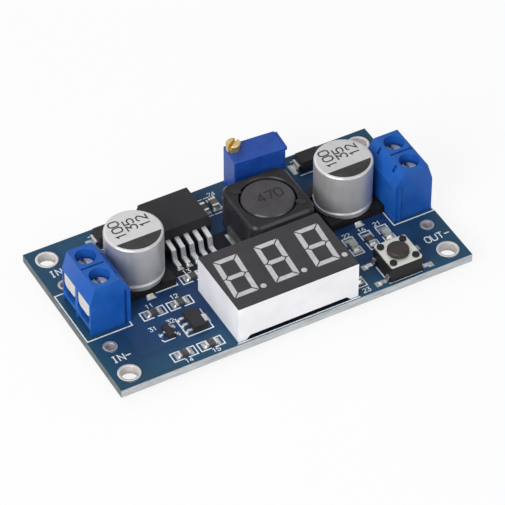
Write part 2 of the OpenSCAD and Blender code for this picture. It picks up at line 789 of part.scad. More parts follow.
// Heat tab: a slug under the body and a wider flange behind it
module tab_solid() {
    slug = reg_w / 2 - tab_slug_in;
    flange = reg_w / 2 - tab_flange_in;
    end = reg_l / 2 + tab_out;
    bevel = 0.5;
    linear_extrude(tab_t) polygon([[-slug, -reg_l / 4], [slug, -reg_l / 4], [slug, reg_l / 2],
        [flange, reg_l / 2], [flange, end - bevel], [flange - bevel, end], [bevel - flange, end],
        [-flange, end - bevel], [-flange, reg_l / 2], [-slug, reg_l / 2]]);
}

module regulator_tab() {
    color("silver") on_board(reg_x, reg_y) tab_solid();
}

module regulator_leads() {
    run = 0.5;
    dip = 0.4;
    lead = gull(reg_lead_z, reg_lead_t, reg_shoulder, run, reg_reach, dip);
    color("silver") on_board(reg_x, reg_y) for (i = [0 : reg_leads_n - 1])
        translate([(i - (reg_leads_n - 1) / 2) * reg_pitch, -reg_l / 2, 0]) rotate([0, 0, -90])
            strip(lead, reg_lead_w);
}

module diode_body(x) {
    color("#3c3a38") on_board(x, diode_y) translate([0, 0, diode_lift])
        moulded(diode_l, diode_w, diode_h - diode_lift, 2 * package_draft, (diode_h - diode_lift) / 2);
}

module diode_leads(x) {
    h = diode_h / 2 + diode_lead_t;
    t = diode_lead_t;
    out = diode_lead_out;
    color("silver") on_board(x, diode_y) for (turn = [0, 180]) rotate([0, 0, turn])
        translate([diode_l / 2, 0, 0]) strip([[0, h], [out, h], [out, 0], [-diode_lead_in, 0],
            [-diode_lead_in, t], [out - t, t], [out - t, h - t], [0, h - t]], diode_lead_w);
}

module inductor_shield() {
    r = core_d / 2 + core_gap;
    low = ind_term_t + ind_floor;
    color("#4b484a") on_board(ind_x, ind_y) difference() {
        translate([0, 0, ind_term_t]) eased_block(ind_w, ind_w, ind_h - ind_term_t, ind_corner, ind_bevel);
        rotate_extrude() polygon([[0, low], [r, low], [r, ind_h - core_bevel],
            [r + core_bevel + cut, ind_h + cut], [0, ind_h + cut]]);
    }
}

module inductor_core() {
    r = core_d / 2;
    low = ind_term_t + ind_floor;
    top = ind_h - core_sink;
    color("#575356") on_board(ind_x, ind_y) rotate_extrude()
        polygon([[0, low], [r, low], [r, low + flange_t], [post_d / 2, low + flange_t],
            [post_d / 2, top - flange_t], [r, top - flange_t], [r, top - core_bevel], [r - core_bevel, top],
            [0, top]]);
}

module inductor_winding() {
    low = ind_term_t + ind_floor + flange_t;
    top = ind_h - core_sink - flange_t;
    color("peru") on_board(ind_x, ind_y) translate([0, 0, low + seat_fit]) difference() {
        cylinder(d = core_d - 2 * core_gap, h = top - low - 2 * seat_fit);
        translate([0, 0, -cut]) cylinder(d = post_d + 2 * seat_fit, h = top - low + 2 * cut);
    }
}

module inductor_terminals() {
    side = ind_w / 2;
    t = ind_term_t;
    color("silver") on_board(ind_x, ind_y) for (turn = [0, 180]) rotate([0, 0, turn])
        strip([[side - ind_w / 4, 0], [side + t, 0], [side + t, ind_term_h], [side, ind_term_h], [side, t],
            [side - ind_w / 4, t]], ind_term_w);
}

module at_trimmer() {
    on_board(trim_x, trim_y, trim_turn) children();
}

module at_adjuster() {
    at_trimmer() translate([adjust_inset - trim_w / 2, trim_d / 2 - adjust_inset, 0]) children();
}

module trimmer_housing() {
    corner = 0.3;
    ledge = 0.35;
    color("#2b57b4") {
        difference() {
            at_trimmer() union() {
                translate([0, 0, trim_foot])
                    eased_block(trim_w, trim_d, trim_h - trim_foot, corner, trim_bevel);
                for (s = SIGNS) translate([s * (trim_w / 2 - trim_wall), 0, trim_foot])
                    cube([2 * trim_wall - 2 * corner, trim_d - 2 * corner, 2 * trim_foot], center = true);
                translate([trim_w / 2 - cut, -trim_d / 2 + corner, trim_h - 2 * ledge - trim_bevel])
                    cube([ledge + cut, trim_d - 2 * corner, 2 * ledge]);
            }
            at_trimmer() translate([0, 0, trim_foot - cut]) linear_extrude(trim_pot + cut) potting_outline();
            at_adjuster() translate([0, 0, trim_h - neck_depth - run_fit])
                cylinder(d = neck_d + 2 * run_fit, h = neck_depth + run_fit + cut);
        }
    }
}

module potting_outline() {
    square([trim_w - 4 * trim_wall, trim_d - 2 * trim_wall], center = true);
}

module trimmer_potting() {
    color("#1d3c80") at_trimmer() translate([0, 0, trim_foot]) linear_extrude(trim_pot) potting_outline();
}

module trimmer_pins() {
    color("silver") for (p = trim_pins) slim_pin(p, board_top + trim_foot);
}

module slim_pin(p, top) {
    translate([p.x, p.y, 0]) cylinder(d = p[2], h = top);
}

module trimmer_screw() {
    foot = trim_h - neck_depth;
    low = trim_h + run_fit;
    top = low + adjust_h;
    edge = 0.15;
    slot = 0.6;
    slot_turn = 39;
    color("goldenrod") at_adjuster() difference() {
        rotate_extrude() polygon([[0, foot], [neck_d / 2, foot], [neck_d / 2, low], [adjust_d / 2, low],
            [adjust_d / 2, top - edge], [adjust_d / 2 - edge, top], [0, top]]);
        rotate([0, 0, slot_turn]) translate([-adjust_d / 2 - cut, -slot / 2, top - adjust_h / 2])
            cube([adjust_d + 2 * cut, slot, adjust_h / 2 + cut]);
    }
}

module at_display() {
    on_board(disp_x, disp_y) children();
}

module digit_shapes(point_fit) {
    for (i = [-1, 0, 1]) translate([i * digit_pitch - digit_shift, digit_rise]) {
        for (s = segments) polygon(s);
        translate(point_at) circle(d = point_d - 2 * point_fit);
    }
}

module display_shell() {
    foot_x = disp_w / 2 - foot_l;
    color("white") at_display() difference() {
        translate([-disp_w / 2, -disp_d / 2, 0]) cube([disp_w, disp_d, disp_top]);
        translate([disp_wall - disp_w / 2, disp_wall - disp_d / 2, -cut])
            cube([disp_w - 2 * disp_wall, disp_d - 2 * disp_wall, disp_top - disp_plate + cut]);
        strip([[-foot_x - cut, -cut], [foot_x + cut, -cut], [foot_x - foot_gap, foot_gap],
            [foot_gap - foot_x, foot_gap]], disp_d + 2 * cut);
        translate([0, 0, disp_top - disp_plate - cut]) linear_extrude(disp_plate + 2 * cut) digit_shapes(0);
    }
}

module display_face() {
    color("#464447") at_display() translate([0, 0, disp_top]) linear_extrude(face_t) difference() {
        square([disp_w - 2 * face_rim, disp_d - 2 * face_rim], center = true);
        digit_shapes(0);
    }
}

module display_segments() {
    color("lightgray") at_display() translate([0, 0, disp_top - disp_plate])
        linear_extrude(disp_plate + face_t) digit_shapes(seat_fit);
}

module display_potting() {
    color("ivory") at_display() translate([disp_wall - disp_w / 2, disp_wall - disp_d / 2, disp_back])
        cube([disp_w - 2 * disp_wall, disp_d - 2 * disp_wall, disp_top - disp_plate - disp_back]);
}

module display_pins() {
    color("silver") for (p = disp_pins) slim_pin(p, board_top + disp_back);
}

module at_button() {
    on_board(key_x, key_y) children();
}

module rivet_places() {
    at = key_w / 2 - rivet_inset;
    for (x = SIGNS, y = SIGNS) translate([x * at, y * at, 0]) children();
}

module button_base() {
    color("#322f32") at_button() difference() {
        union() {
            translate([-key_w / 2, -key_w / 2, 0]) cube([key_w, key_w, key_h]);
            rivet_places() translate([0, 0, key_h - cut]) cylinder(d = rivet_d, h = cut + cover_t + rivet_h);
        }
        translate([0, 0, key_floor]) cylinder(d = key_bore_d, h = key_h);
    }
}

module button_cover() {
    corner = 0.35;
    color("gainsboro") at_button() translate([0, 0, key_h]) difference() {
        linear_extrude(cover_t) rounded_square(key_w, key_w, corner);
        translate([0, 0, -cut]) cylinder(d = plunger_d + 2 * run_fit, h = cover_t + 2 * cut);
        rivet_places() translate([0, 0, -cut]) cylinder(d = rivet_d + 2 * seat_fit, h = cover_t + 2 * cut);
    }
}

module button_plunger() {
    stem = plunger_d / 2;
    top = key_h + cover_t + plunger_rise;
    edge = 0.25;
    color("#423c3a") at_button() rotate_extrude()
        polygon([[0, nib_z], [nib_d / 2, nib_z], [nib_d / 2, collar_z], [stem + collar_w, collar_z],
            [stem + collar_w, collar_z + collar_t], [stem, collar_z + collar_t], [stem, top - edge],
            [stem - edge, top], [0, top]]);
}

// Snap dome on the floor of the base
module button_dome() {
    flat = dome_d / 5;
    low = key_floor;
    top = key_floor + dome_rise;
    color("silver") at_button() rotate_extrude()
        polygon([[0, top - dome_t], [flat, top - dome_t], [dome_d / 2 - dome_t, low], [dome_d / 2, low],
            [flat, top], [0, top]]);
}

module button_leads() {
    lead = gull(key_lead_z, key_lead_t, key_lead_shoulder, key_lead_run, key_lead_out);
    color("silver") at_button() for (turn = [0, 180], y = SIGNS) rotate([0, 0, turn])
        translate([key_w / 2, y * key_lead_pitch / 2, 0]) strip(lead, key_lead_w);
}

module meter_chip_body() {
    color("#2f2d30") under_board(disp_x, disp_y) translate([0, 0, package_lift])
        moulded(mcu_l, mcu_w, mcu_h - package_lift, package_draft, (mcu_h - package_lift) / 2);
}

module meter_chip_leads() {
    lead_z = (package_lift + mcu_h + mcu_lead_t) / 2;
    lead = gull(lead_z, mcu_lead_t, chip_shoulder, chip_run, mcu_lead_out);
    color("silver") under_board(disp_x, disp_y) for (turn = [-90, 90], i = [0 : mcu_side_n - 1])
        translate([(i - (mcu_side_n - 1) / 2) * mcu_pitch, sign(turn) * mcu_w / 2, 0]) rotate([0, 0, turn])
            strip(lead, mcu_lead_w);
}

module at_supply() {
    on_board(near_x, disp_y + supply_row) children();
}

module meter_supply_body() {
    color("#2f2d30") at_supply() difference() {
        moulded(supply_l, supply_w, supply_h, package_draft, supply_t);
        supply_metal();
    }
}

// Three flat leads on one side and the tab on the other
module supply_metal() {
    inside = 0.5;
    lead_w = 0.5;
    tab_w = 1.7;
    for (i = [-1, 0, 1]) translate([-supply_l / 2 - supply_out, i * supply_pitch - lead_w / 2, 0])
        cube([supply_out + inside, lead_w, supply_t]);
    translate([supply_l / 2 - inside, -tab_w / 2, 0]) cube([supply_out + inside, tab_w, supply_t]);
}

module meter_supply_leads() {
    color("silver") at_supply() supply_metal();
}

module at_transistor() {
    on_board(far_x, disp_y + tran_row) children();
}

module transistor_body() {
    color("#2f2d30") at_transistor() translate([0, 0, package_lift])
        moulded(tran_l, tran_w, tran_h - package_lift, package_draft, (tran_h - package_lift) / 2);
}

module transistor_leads() {
    lead_z = (package_lift + tran_h + tran_lead_t) / 2;
    lead = gull(lead_z, tran_lead_t, chip_shoulder, chip_run, tran_lead_out);
    color("silver") at_transistor() {
        translate([-tran_l / 2, 0, 0]) rotate([0, 0, 180]) strip(lead, tran_lead_w);
        for (y = SIGNS) translate([tran_l / 2, y * tran_pitch / 2, 0]) strip(lead, tran_lead_w);
    }
}

module chip_bodies(places, h, w) {
    for (p = places) on_board(p.x, p.y, p[2]) translate([chip_end - chip_l / 2, -w / 2, 0])
        cube([chip_l - 2 * chip_end, w, h]);
}

module chip_ends(places, h) {
    for (p = places, s = SIGNS) on_board(p.x, p.y, p[2]) translate([s * (chip_l - chip_end) / 2, 0, h / 2])
        cube([chip_end, chip_w, h], center = true);
}

module resistor_bodies() {
    color("#26262a") chip_bodies(resistors, res_h, chip_w);
}

module resistor_ends() {
    color("silver") chip_ends(resistors, res_h);
}

module chip_capacitor_bodies() {
    color("tan") chip_bodies(chip_capacitors, mlcc_h, chip_w);
}

module chip_capacitor_ends() {
    color("silver") chip_ends(chip_capacitors, mlcc_h);
}

module lamp_bodies() {
    color("honeydew") chip_bodies(lamps, lamp_h, chip_w);
}

module lamp_ends() {
    base_share = 0.6;
    color("silver") chip_ends(lamps, lamp_h * base_share);
}

circuit_board();
solder_joints();
block_housing(IN);  // in_block_housing
block_contacts(IN);  // in_block_contacts
block_housing(OUT);  // out_block_housing
block_contacts(OUT);  // out_block_contacts
clamp_screw(IN, NEGATIVE);  // in_negative_screw
clamp_screw(IN, POSITIVE);  // in_positive_screw
clamp_screw(OUT, NEGATIVE);  // out_negative_screw
clamp_screw(OUT, POSITIVE);  // out_positive_screw
wire_guard(IN, NEGATIVE);  // in_negative_guard
wire_guard(IN, POSITIVE);  // in_positive_guard
wire_guard(OUT, NEGATIVE);  // out_negative_guard
wire_guard(OUT, POSITIVE);  // out_positive_guard
capacitor_can(in_cap_x, in_cap_y);  // in_capacitor_can
capacitor_base(in_cap_x, in_cap_y);  // in_capacitor_base
capacitor_terminals(in_cap_x, in_cap_y);  // in_capacitor_terminals
capacitor_can(out_cap_x, out_cap_y);  // out_capacitor_can
capacitor_base(out_cap_x, out_cap_y);  // out_capacitor_base
capacitor_terminals(out_cap_x, out_cap_y);  // out_capacitor_terminals
regulator_body();
regulator_tab();
regulator_leads();
diode_body(in_cap_x);  // in_diode_body
diode_leads(in_cap_x);  // in_diode_leads
diode_body(out_cap_x);  // out_diode_body
diode_leads(out_cap_x);  // out_diode_leads
inductor_shield();
inductor_core();
inductor_winding();
inductor_terminals();
trimmer_housing();
trimmer_screw();
trimmer_potting();
trimmer_pins();
display_shell();
display_face();
display_segments();
display_potting();
display_pins();
button_base();
button_cover();
button_plunger();
button_dome();
button_leads();
meter_chip_body();
meter_chip_leads();
meter_supply_body();
meter_supply_leads();
transistor_body();
transistor_leads();
resistor_bodies();
resistor_ends();
chip_capacitor_bodies();
chip_capacitor_ends();
lamp_bodies();
lamp_ends();
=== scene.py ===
import math

import bmesh
import bpy
from mathutils import Matrix, Vector


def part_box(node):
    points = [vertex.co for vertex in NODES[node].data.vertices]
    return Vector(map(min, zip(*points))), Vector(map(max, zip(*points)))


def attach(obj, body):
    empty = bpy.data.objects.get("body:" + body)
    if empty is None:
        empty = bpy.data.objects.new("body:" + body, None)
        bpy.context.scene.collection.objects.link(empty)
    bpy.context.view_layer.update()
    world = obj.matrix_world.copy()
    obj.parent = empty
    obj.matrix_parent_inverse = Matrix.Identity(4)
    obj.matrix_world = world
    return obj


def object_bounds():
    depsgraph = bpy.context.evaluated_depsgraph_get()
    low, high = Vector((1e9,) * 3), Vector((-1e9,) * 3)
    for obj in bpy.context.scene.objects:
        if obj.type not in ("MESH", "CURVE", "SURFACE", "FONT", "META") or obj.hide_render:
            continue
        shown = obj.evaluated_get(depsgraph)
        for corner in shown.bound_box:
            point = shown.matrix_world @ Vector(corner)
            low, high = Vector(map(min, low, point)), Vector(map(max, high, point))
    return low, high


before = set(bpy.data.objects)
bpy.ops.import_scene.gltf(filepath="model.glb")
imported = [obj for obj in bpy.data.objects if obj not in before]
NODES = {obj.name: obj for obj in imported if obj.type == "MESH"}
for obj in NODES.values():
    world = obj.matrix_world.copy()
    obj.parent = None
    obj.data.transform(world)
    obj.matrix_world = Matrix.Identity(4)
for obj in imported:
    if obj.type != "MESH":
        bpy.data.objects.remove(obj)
cad_low, cad_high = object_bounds()

MODULE = "module"
ENDS = ("in", "out")
MM = 0.001
# Both ways along an axis
WAYS = (-1, 1)

# Camera: angles in degrees, lengths in millimetres, focal length in pixels of the frame
VIEW_AZIMUTH = -28.759
VIEW_ELEVATION = 43.815
VIEW_DISTANCE = 589.839
VIEW_OFFSET = (0.815, 1.504)
VIEW_CENTRE_Z = 1.5
CLIP_NEAR = 10.0
CLIP_FAR = 20000.0
FOCAL_PIXELS = 3521.289
FRAME_PIXELS = 505
SENSOR = 36.0

# Layers on the board, in millimetres above its surface
POUR_RISE = 0.02
INK_RISE = 0.045
PAD_RISE = 0.05
PLATING_RISE = 0.07


def srgb(red, green, blue):
    """Scene-linear colour from 8-bit screen values."""
    def linear(value):
        share = value / 255
        return share / 12.92 if share <= 0.04045 else ((share + 0.055) / 1.055) ** 2.4
    return (linear(red), linear(green), linear(blue), 1.0)


# Places read from the frame, in millimetres

# Decimal places at which points are joined into solids and solids are put in order
JOIN_DIGITS = 3
ORDER_DIGITS = 2


def node_box(node):
    """Lowest and highest corner of a node."""
    low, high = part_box(node)
    return low / MM, high / MM


def middle(box):
    """Centre of a box."""
    return (box[0] + box[1]) / 2


def flat(vector):
    """X and Y of a point."""
    return Vector((vector.x, vector.y))


def solids_of(node):
    """Boxes of the separate solids in a node, in a fixed order."""
    mesh = NODES[node].data
    keys = [tuple(round(c / MM, JOIN_DIGITS) for c in v.co) for v in mesh.vertices]
    parent = {key: key for key in keys}

    def root(key):
        while parent[key] != key:
            key = parent[key]
        return key

    for face in mesh.polygons:
        first = root(keys[face.vertices[0]])
        for index in face.vertices[1:]:
            parent[root(keys[index])] = first
    groups = {}
    for key in parent:
        groups.setdefault(root(key), []).append(key)
    boxes = [(Vector(map(min, *points)), Vector(map(max, *points))) for points in groups.values()]
    return sorted(boxes, key=lambda box: tuple(round(c, ORDER_DIGITS) for c in box[0]))


# Top and foot of the laminate, which the rings round the board's holes stand proud of
BOARD_TOP = node_box("in_block_housing")[0].z
BOARD_LOW, BOARD_HIGH = node_box("circuit_board")
RING_RISE = BOARD_HIGH.z - BOARD_TOP
BOARD_FOOT = BOARD_LOW.z + RING_RISE


# Shader nodes

# Places of the colour sockets on a mix node
MIX_SHARE, MIX_FIRST, MIX_SECOND, MIX_RESULT = 0, 6, 7, 2
WHOLE = (0.0, 1.0)
# Least share of a face's direction along an axis that counts as facing that way, and as level
FACING = 0.5
LEVEL = 0.95


def mixed_colour(tree, share, first, second):
    """Colour that goes from the first to the second by a share."""
    node = tree.nodes.new("ShaderNodeMix")
    node.data_type = "RGBA"
    tree.links.new(share, node.inputs[MIX_SHARE])
    tree.links.new(first, node.inputs[MIX_FIRST])
    tree.links.new(second, node.inputs[MIX_SECOND])
    return node.outputs[MIX_RESULT]


def ranged(tree, value, before, after):
    """A value mapped from one range to another."""
    node = tree.nodes.new("ShaderNodeMapRange")
    tree.links.new(value, node.inputs["Value"])
    for label, end in zip(("From Min", "From Max", "To Min", "To Max"), (*before, *after)):
        node.inputs[label].default_value = end
    return node.outputs["Result"]


def calculated(tree, operation, *values):
    """Result of a sum on numbers or sockets."""
    node = tree.nodes.new("ShaderNodeMath")
    node.operation = operation
    for socket, value in zip(node.inputs, values):
        if isinstance(value, (int, float)):
            socket.default_value = value
        else:
            tree.links.new(value, socket)
    return node.outputs["Value"]


def along_axes(tree, kind):
    """X, Y and Z of a coordinate as sockets: Object is the place on a piece, Normal its direction."""
    source = tree.nodes.new("ShaderNodeTexCoord")
    parts = tree.nodes.new("ShaderNodeSeparateXYZ")
    tree.links.new(source.outputs[kind], parts.inputs["Vector"])
    return parts.outputs


def within(tree, value, low, high):
    """Mask of the places where a value lies between two lengths in millimetres."""
    above = calculated(tree, "GREATER_THAN", value, low * MM)
    below = calculated(tree, "LESS_THAN", value, high * MM)
    return calculated(tree, "MULTIPLY", above, below)


def placed_group(tree, group, **values):
    """Node of a shared group with its own values."""
    node = tree.nodes.new("ShaderNodeGroup")
    node.node_tree = group
    for label, value in values.items():
        node.inputs[label].default_value = value
    return node


# Shader node groups

# Stretch of the noise along the axes, and its detail and roughness
EVEN = (1, 1, 1)
LAID_FLAT = (0.12, 0.12, 1)
DRAWN_UP = (1, 1, 0.03)
TONE_NOISE = (4.0, 0.55)
GRAIN_NOISE = (5.0, 0.65)
DRAWN_NOISE = (4.0, 0.7)
# Part of the noise that a mask shows
TONE_CONTRAST = (0.3, 0.7)
DRAWN_CONTRAST = (0.35, 0.65)
# Width of the rim that changes its tone, and how far it changes
RIM_W = 9.0
RIM_SHARE = 0.7


def new_group(name, inputs, outputs):
    """Empty shader group with sockets of the given kinds: the group, its inputs and its outputs."""
    group = bpy.data.node_groups.new(name, "ShaderNodeTree")
    for direction, sockets in (("INPUT", inputs), ("OUTPUT", outputs)):
        for label, kind in sockets.items():
            group.interface.new_socket(label, in_out=direction, socket_type="NodeSocket" + kind)
    given = group.nodes.new("NodeGroupInput")
    made = group.nodes.new("NodeGroupOutput")
    return group, given.outputs, made.inputs


def noise(group, stretch, scale, detail, roughness):
    """Noise over a piece, with its scale per millimetre from a socket."""
    place = group.nodes.new("ShaderNodeTexCoord")
    spread = group.nodes.new("ShaderNodeMapping")
    spread.inputs["Scale"].default_value = [s / MM for s in stretch]
    group.links.new(place.outputs["Object"], spread.inputs["Vector"])
    node = group.nodes.new("ShaderNodeTexNoise")
    node.inputs["Detail"].default_value = detail
    node.inputs["Roughness"].default_value = roughness
    group.links.new(spread.outputs["Vector"], node.inputs["Vector"])
    group.links.new(scale, node.inputs["Scale"])
    return node.outputs["Fac"]


def make_tone_group(name, stretch):
    """Change of tone over a surface: a colour, and a mask for gloss."""
    group, given, made = new_group(
        name,
        {"Pale": "Color", "Deep": "Color", "Scale": "Float"},
        {"Color": "Color", "Mask": "Float"})
    cloud = ranged(group, noise(group, stretch, given["Scale"], *TONE_NOISE), TONE_CONTRAST, WHOLE)
    group.links.new(mixed_colour(group, cloud, given["Deep"], given["Pale"]), made["Color"])
    group.links.new(cloud, made["Mask"])
    return group


def make_grain_group():
    """Fine moulded or cast grain as a height."""
    group, given, made = new_group("fine_grain", {"Scale": "Float"}, {"Height": "Float"})
    group.links.new(noise(group, EVEN, given["Scale"], *GRAIN_NOISE), made["Height"])
    return group


def make_drawn_group():
    """Upright drawing lines of rolled or drawn metal, as a height and a mask."""
    group, given, made = new_group(
        "drawn_lines", {"Scale": "Float"}, {"Height": "Float", "Mask": "Float"})
    lines = noise(group, DRAWN_UP, given["Scale"], *DRAWN_NOISE)
    group.links.new(lines, made["Height"])
    group.links.new(ranged(group, lines, DRAWN_CONTRAST, WHOLE), made["Mask"])
    return group


def make_rim_group():
    """Colour that turns to another one towards the rim of the board."""
    group, given, made = new_group(
        "rim_tone", {"Tone": "Color", "Rim": "Color"}, {"Color": "Color"})
    point = along_axes(group, "Object")
    nearness = []
    for axis, half in (("X", BOARD_HIGH.x), ("Y", BOARD_HIGH.y)):
        reach = calculated(group, "ABSOLUTE", point[axis])
        rim = ((half - RIM_W) * MM, half * MM)
        nearness.append(ranged(group, reach, rim, (0.0, RIM_SHARE)))
    share = calculated(group, "MAXIMUM", *nearness)
    group.links.new(mixed_colour(group, share, given["Tone"], given["Rim"]), made["Color"])
    return group


MOTTLE = make_tone_group("mottled_tone", EVEN)
LAYERS = make_tone_group("layered_tone", LAID_FLAT)
GRAIN = make_grain_group()
DRAWN = make_drawn_group()
RIM = make_rim_group()


# Materials

SHADER = "Principled BSDF"
# Tones of the display's face, which its shell shares
FACE_PALE = srgb(63, 61, 63)
FACE_DEEP = srgb(54, 52, 54)
FACE_MOTTLE = 0.25
# Depth below the top of the display's shell that the dark print reaches
PRINT_EDGE = 0.05
# Reach of the painted shade on the board in front of the regulator's leads
LEAD_SHADE_REACH = 1.8
# Scale of the layers on the cut edges of the board
LAYER_SCALE = 3.0


def toned(tree, group, pale, deep, scale):
    """Colour of a tone group placed in a material."""
    return placed_group(tree, group, Pale=pale, Deep=deep, Scale=scale).outputs["Color"]


def finish(name, pale, deep, gloss, mottle=0.4, grain=6.0, depth=0.02, drawn=False, **sockets):
    """Material with mottled tone, a range of roughness and a fine grain, or drawing lines.

    Mottle and grain are scales of noise per millimetre, and depth is the grain's height in millimetres.
    """
    material = bpy.data.materials.new(name)
    material.use_nodes = True
    tree = material.node_tree
    shader = tree.nodes[SHADER]
    for label, value in sockets.items():
        shader.inputs[label.replace("_", " ")].default_value = value
    tone = placed_group(tree, MOTTLE, Pale=pale, Deep=deep, Scale=mottle)
    relief = placed_group(tree, DRAWN if drawn else GRAIN, Scale=grain)
    mask = relief.outputs["Mask"] if drawn else tone.outputs["Mask"]
    bump = tree.nodes.new("ShaderNodeBump")
    bump.inputs["Strength"].default_value = 1.0
    bump.inputs["Distance"].default_value = depth * MM
    tree.links.new(relief.outputs["Height"], bump.inputs["Height"])
    tree.links.new(tone.outputs["Color"], shader.inputs["Base Color"])
    tree.links.new(ranged(tree, mask, WHOLE, gloss), shader.inputs["Roughness"])
    tree.links.new(bump.outputs["Normal"], shader.inputs["Normal"])
    return material


def metal(name, pale, gloss, dark=0.82, metallic=1.0, **more):
    """Metal finish whose deep tone is the pale one times a factor."""
    deep = tuple(c * dark for c in pale[:3]) + (1.0,)
    return finish(name, pale, deep, gloss, Metallic=metallic, **more)


def base_colour(material):
    """Socket of a material's base colour, and the socket that feeds it."""
    base = material.node_tree.nodes[SHADER].inputs["Base Color"]
    return base, base.links[0].from_socket


def cover(material, mask, colour):
    """Lay a colour over a material's own one where the mask is set."""
    base, own = base_colour(material)
    tree = material.node_tree
    tree.links.new(mixed_colour(tree, mask, own, colour), base)


def mask_finish(name, pale, deep, rim):
    """Solder mask that changes its tone towards the rim of the board."""
    material = finish(name, pale, deep, (0.36, 0.5), mottle=0.1, grain=2.5, Specular_IOR_Level=0.17)
    tree = material.node_tree
    base, own = base_colour(material)
    rimmed = placed_group(tree, RIM, Rim=rim)
    tree.links.new(own, rimmed.inputs["Tone"])
    tree.links.new(rimmed.outputs["Color"], base)
    return material


def lead_shade_box():
    """Corners of the painted shade round the regulator's leads, from the capacitor to the inductor."""
    low, high = node_box("regulator_leads")
    left = node_box("in_capacitor_base")[1].x
    right = node_box("inductor_shield")[0].x
    return Vector((left, low.y - LEAD_SHADE_REACH, low.z)), Vector((right, high.y, high.z))


def painted_shade_mask(tree, facing):
    """Mask of the painted shade on the board's top: under the display and round the regulator's leads.
    """
    point = along_axes(tree, "Object")
    shade_areas = []
    for low, high in (node_box("display_shell"), lead_shade_box()):
        across = within(tree, point["X"], low.x, high.x)
        shade_areas.append(calculated(tree, "MULTIPLY", across, within(tree, point["Y"], low.y, high.y)))
    upward = calculated(tree, "GREATER_THAN", facing["Z"], FACING)
    return calculated(tree, "MULTIPLY", calculated(tree, "MAXIMUM", *shade_areas), upward)


def board_finish():
    """Solder mask on the flat faces, painted near-black as painted shade under the display and round
    the regulator's leads, and laminate on the cut edges.

    The sawn ends are greyer than the long edges.
    """
    material = mask_finish("board_mask", srgb(30, 62, 104), srgb(20, 46, 86), srgb(36, 78, 98))
    tree = material.node_tree
    facing = along_axes(tree, "Normal")
    # Painted shade: near-black tone laid on the board's top under the display and round the regulator's
    # leads
    painted_shade = toned(tree, MOTTLE, srgb(14, 22, 36), srgb(9, 15, 26), scale=0.4)
    cover(material, painted_shade_mask(tree, facing), painted_shade)
    laminate = toned(tree, LAYERS, srgb(198, 201, 203), srgb(158, 162, 164), LAYER_SCALE)
    sawn = toned(tree, LAYERS, srgb(112, 117, 118), srgb(76, 80, 81), LAYER_SCALE)
    at_end = calculated(tree, "GREATER_THAN", calculated(tree, "ABSOLUTE", facing["X"]), FACING)
    at_edge = calculated(tree, "LESS_THAN", calculated(tree, "ABSOLUTE", facing["Z"]), FACING)
    cover(material, at_edge, mixed_colour(tree, at_end, laminate, sawn))
    return material


def shell_finish():
    """White display shell whose top is covered by the dark print of the face."""
    material = finish("display_plastic", srgb(243, 242, 244), srgb(232, 231, 235), (0.34, 0.46),
                      mottle=0.2, grain=3.0, depth=0.012)
    tree = material.node_tree
    print_foot = (node_box("display_shell")[1].z - PRINT_EDGE) * MM
    high = calculated(tree, "GREATER_THAN", along_axes(tree, "Object")["Z"], print_foot)
    upward = calculated(tree, "GREATER_THAN", along_axes(tree, "Normal")["Z"], FACING)
    printed = toned(tree, MOTTLE, FACE_PALE, FACE_DEEP, FACE_MOTTLE)
    cover(material, calculated(tree, "MULTIPLY", upward, high), printed)
    return material


def ferrite_finish():
    """Ferrite shield whose flat top is painted darker than its bevels and walls, as painted shade that
    leaves the bevels lighter like highlights.
    """
    material = finish("ferrite_shield", srgb(53, 51, 56), srgb(37, 36, 40), (0.2, 0.34),
                      mottle=0.3, grain=3.0, Specular_IOR_Level=0.25)
    tree = material.node_tree
    painted_shade_top = calculated(tree, "GREATER_THAN", along_axes(tree, "Normal")["Z"], LEVEL)
    # Painted shade on the upward flat top of the shield
    cover(material, painted_shade_top, toned(tree, MOTTLE, srgb(33, 31, 33), srgb(23, 21, 23), scale=0.3))
    return material


# Board, print and solder
BOARD = board_finish()
POUR = mask_finish("board_pour", srgb(33, 67, 109), srgb(23, 51, 92), srgb(39, 82, 101))
INK = finish("white_ink", srgb(238, 242, 246), srgb(218, 225, 230), (0.5, 0.65),
             mottle=1.5, grain=9.0, depth=0.01)
BLACK_INK = finish("black_ink", srgb(62, 60, 60), srgb(44, 42, 42), (0.45, 0.6),
                   mottle=1.0, grain=9.0, depth=0.005, Specular_IOR_Level=0.25)
CORE_INK = finish("core_ink", srgb(40, 35, 36), srgb(28, 25, 26), (0.4, 0.55),
                  mottle=1.0, grain=9.0, depth=0.005, Specular_IOR_Level=0.3)
SOLDER = metal("bright_solder", srgb(222, 222, 221), (0.24, 0.42), dark=0.72, metallic=0.85,
               mottle=1.6, grain=1.8, depth=0.04)
PAD = metal("tinned_pad", srgb(182, 190, 186), (0.38, 0.55), dark=0.7, metallic=0.5,
            mottle=1.1, grain=2.5)
PLATING = metal("hole_plating", srgb(222, 216, 213), (0.3, 0.48), dark=0.78, metallic=0.45,
                mottle=0.8, grain=3.0)
DULL_PLATING = metal("wire_hole_plating", srgb(184, 180, 186), (0.34, 0.5), dark=0.72, metallic=0.45,
                     mottle=0.8, grain=3.0)

# Leads and screws
LEAD = metal("power_lead", srgb(230, 230, 233), (0.26, 0.4), metallic=0.55,
             mottle=0.9, grain=4.0, depth=0.015)
DULL_TIN = metal("dull_tin", srgb(86, 89, 89), (0.45, 0.6), dark=0.7, metallic=0.3,
                 mottle=0.9, grain=4.0, depth=0.015)
TINNED = metal("tinned_lead", srgb(208, 208, 212), (0.26, 0.42), metallic=0.9,
               mottle=0.9, grain=4.0, depth=0.015)
STEEL = metal("screw_plating", srgb(226, 224, 220), (0.28, 0.44), dark=0.88, metallic=0.6,
              mottle=1.2, grain=3.5, depth=0.015)

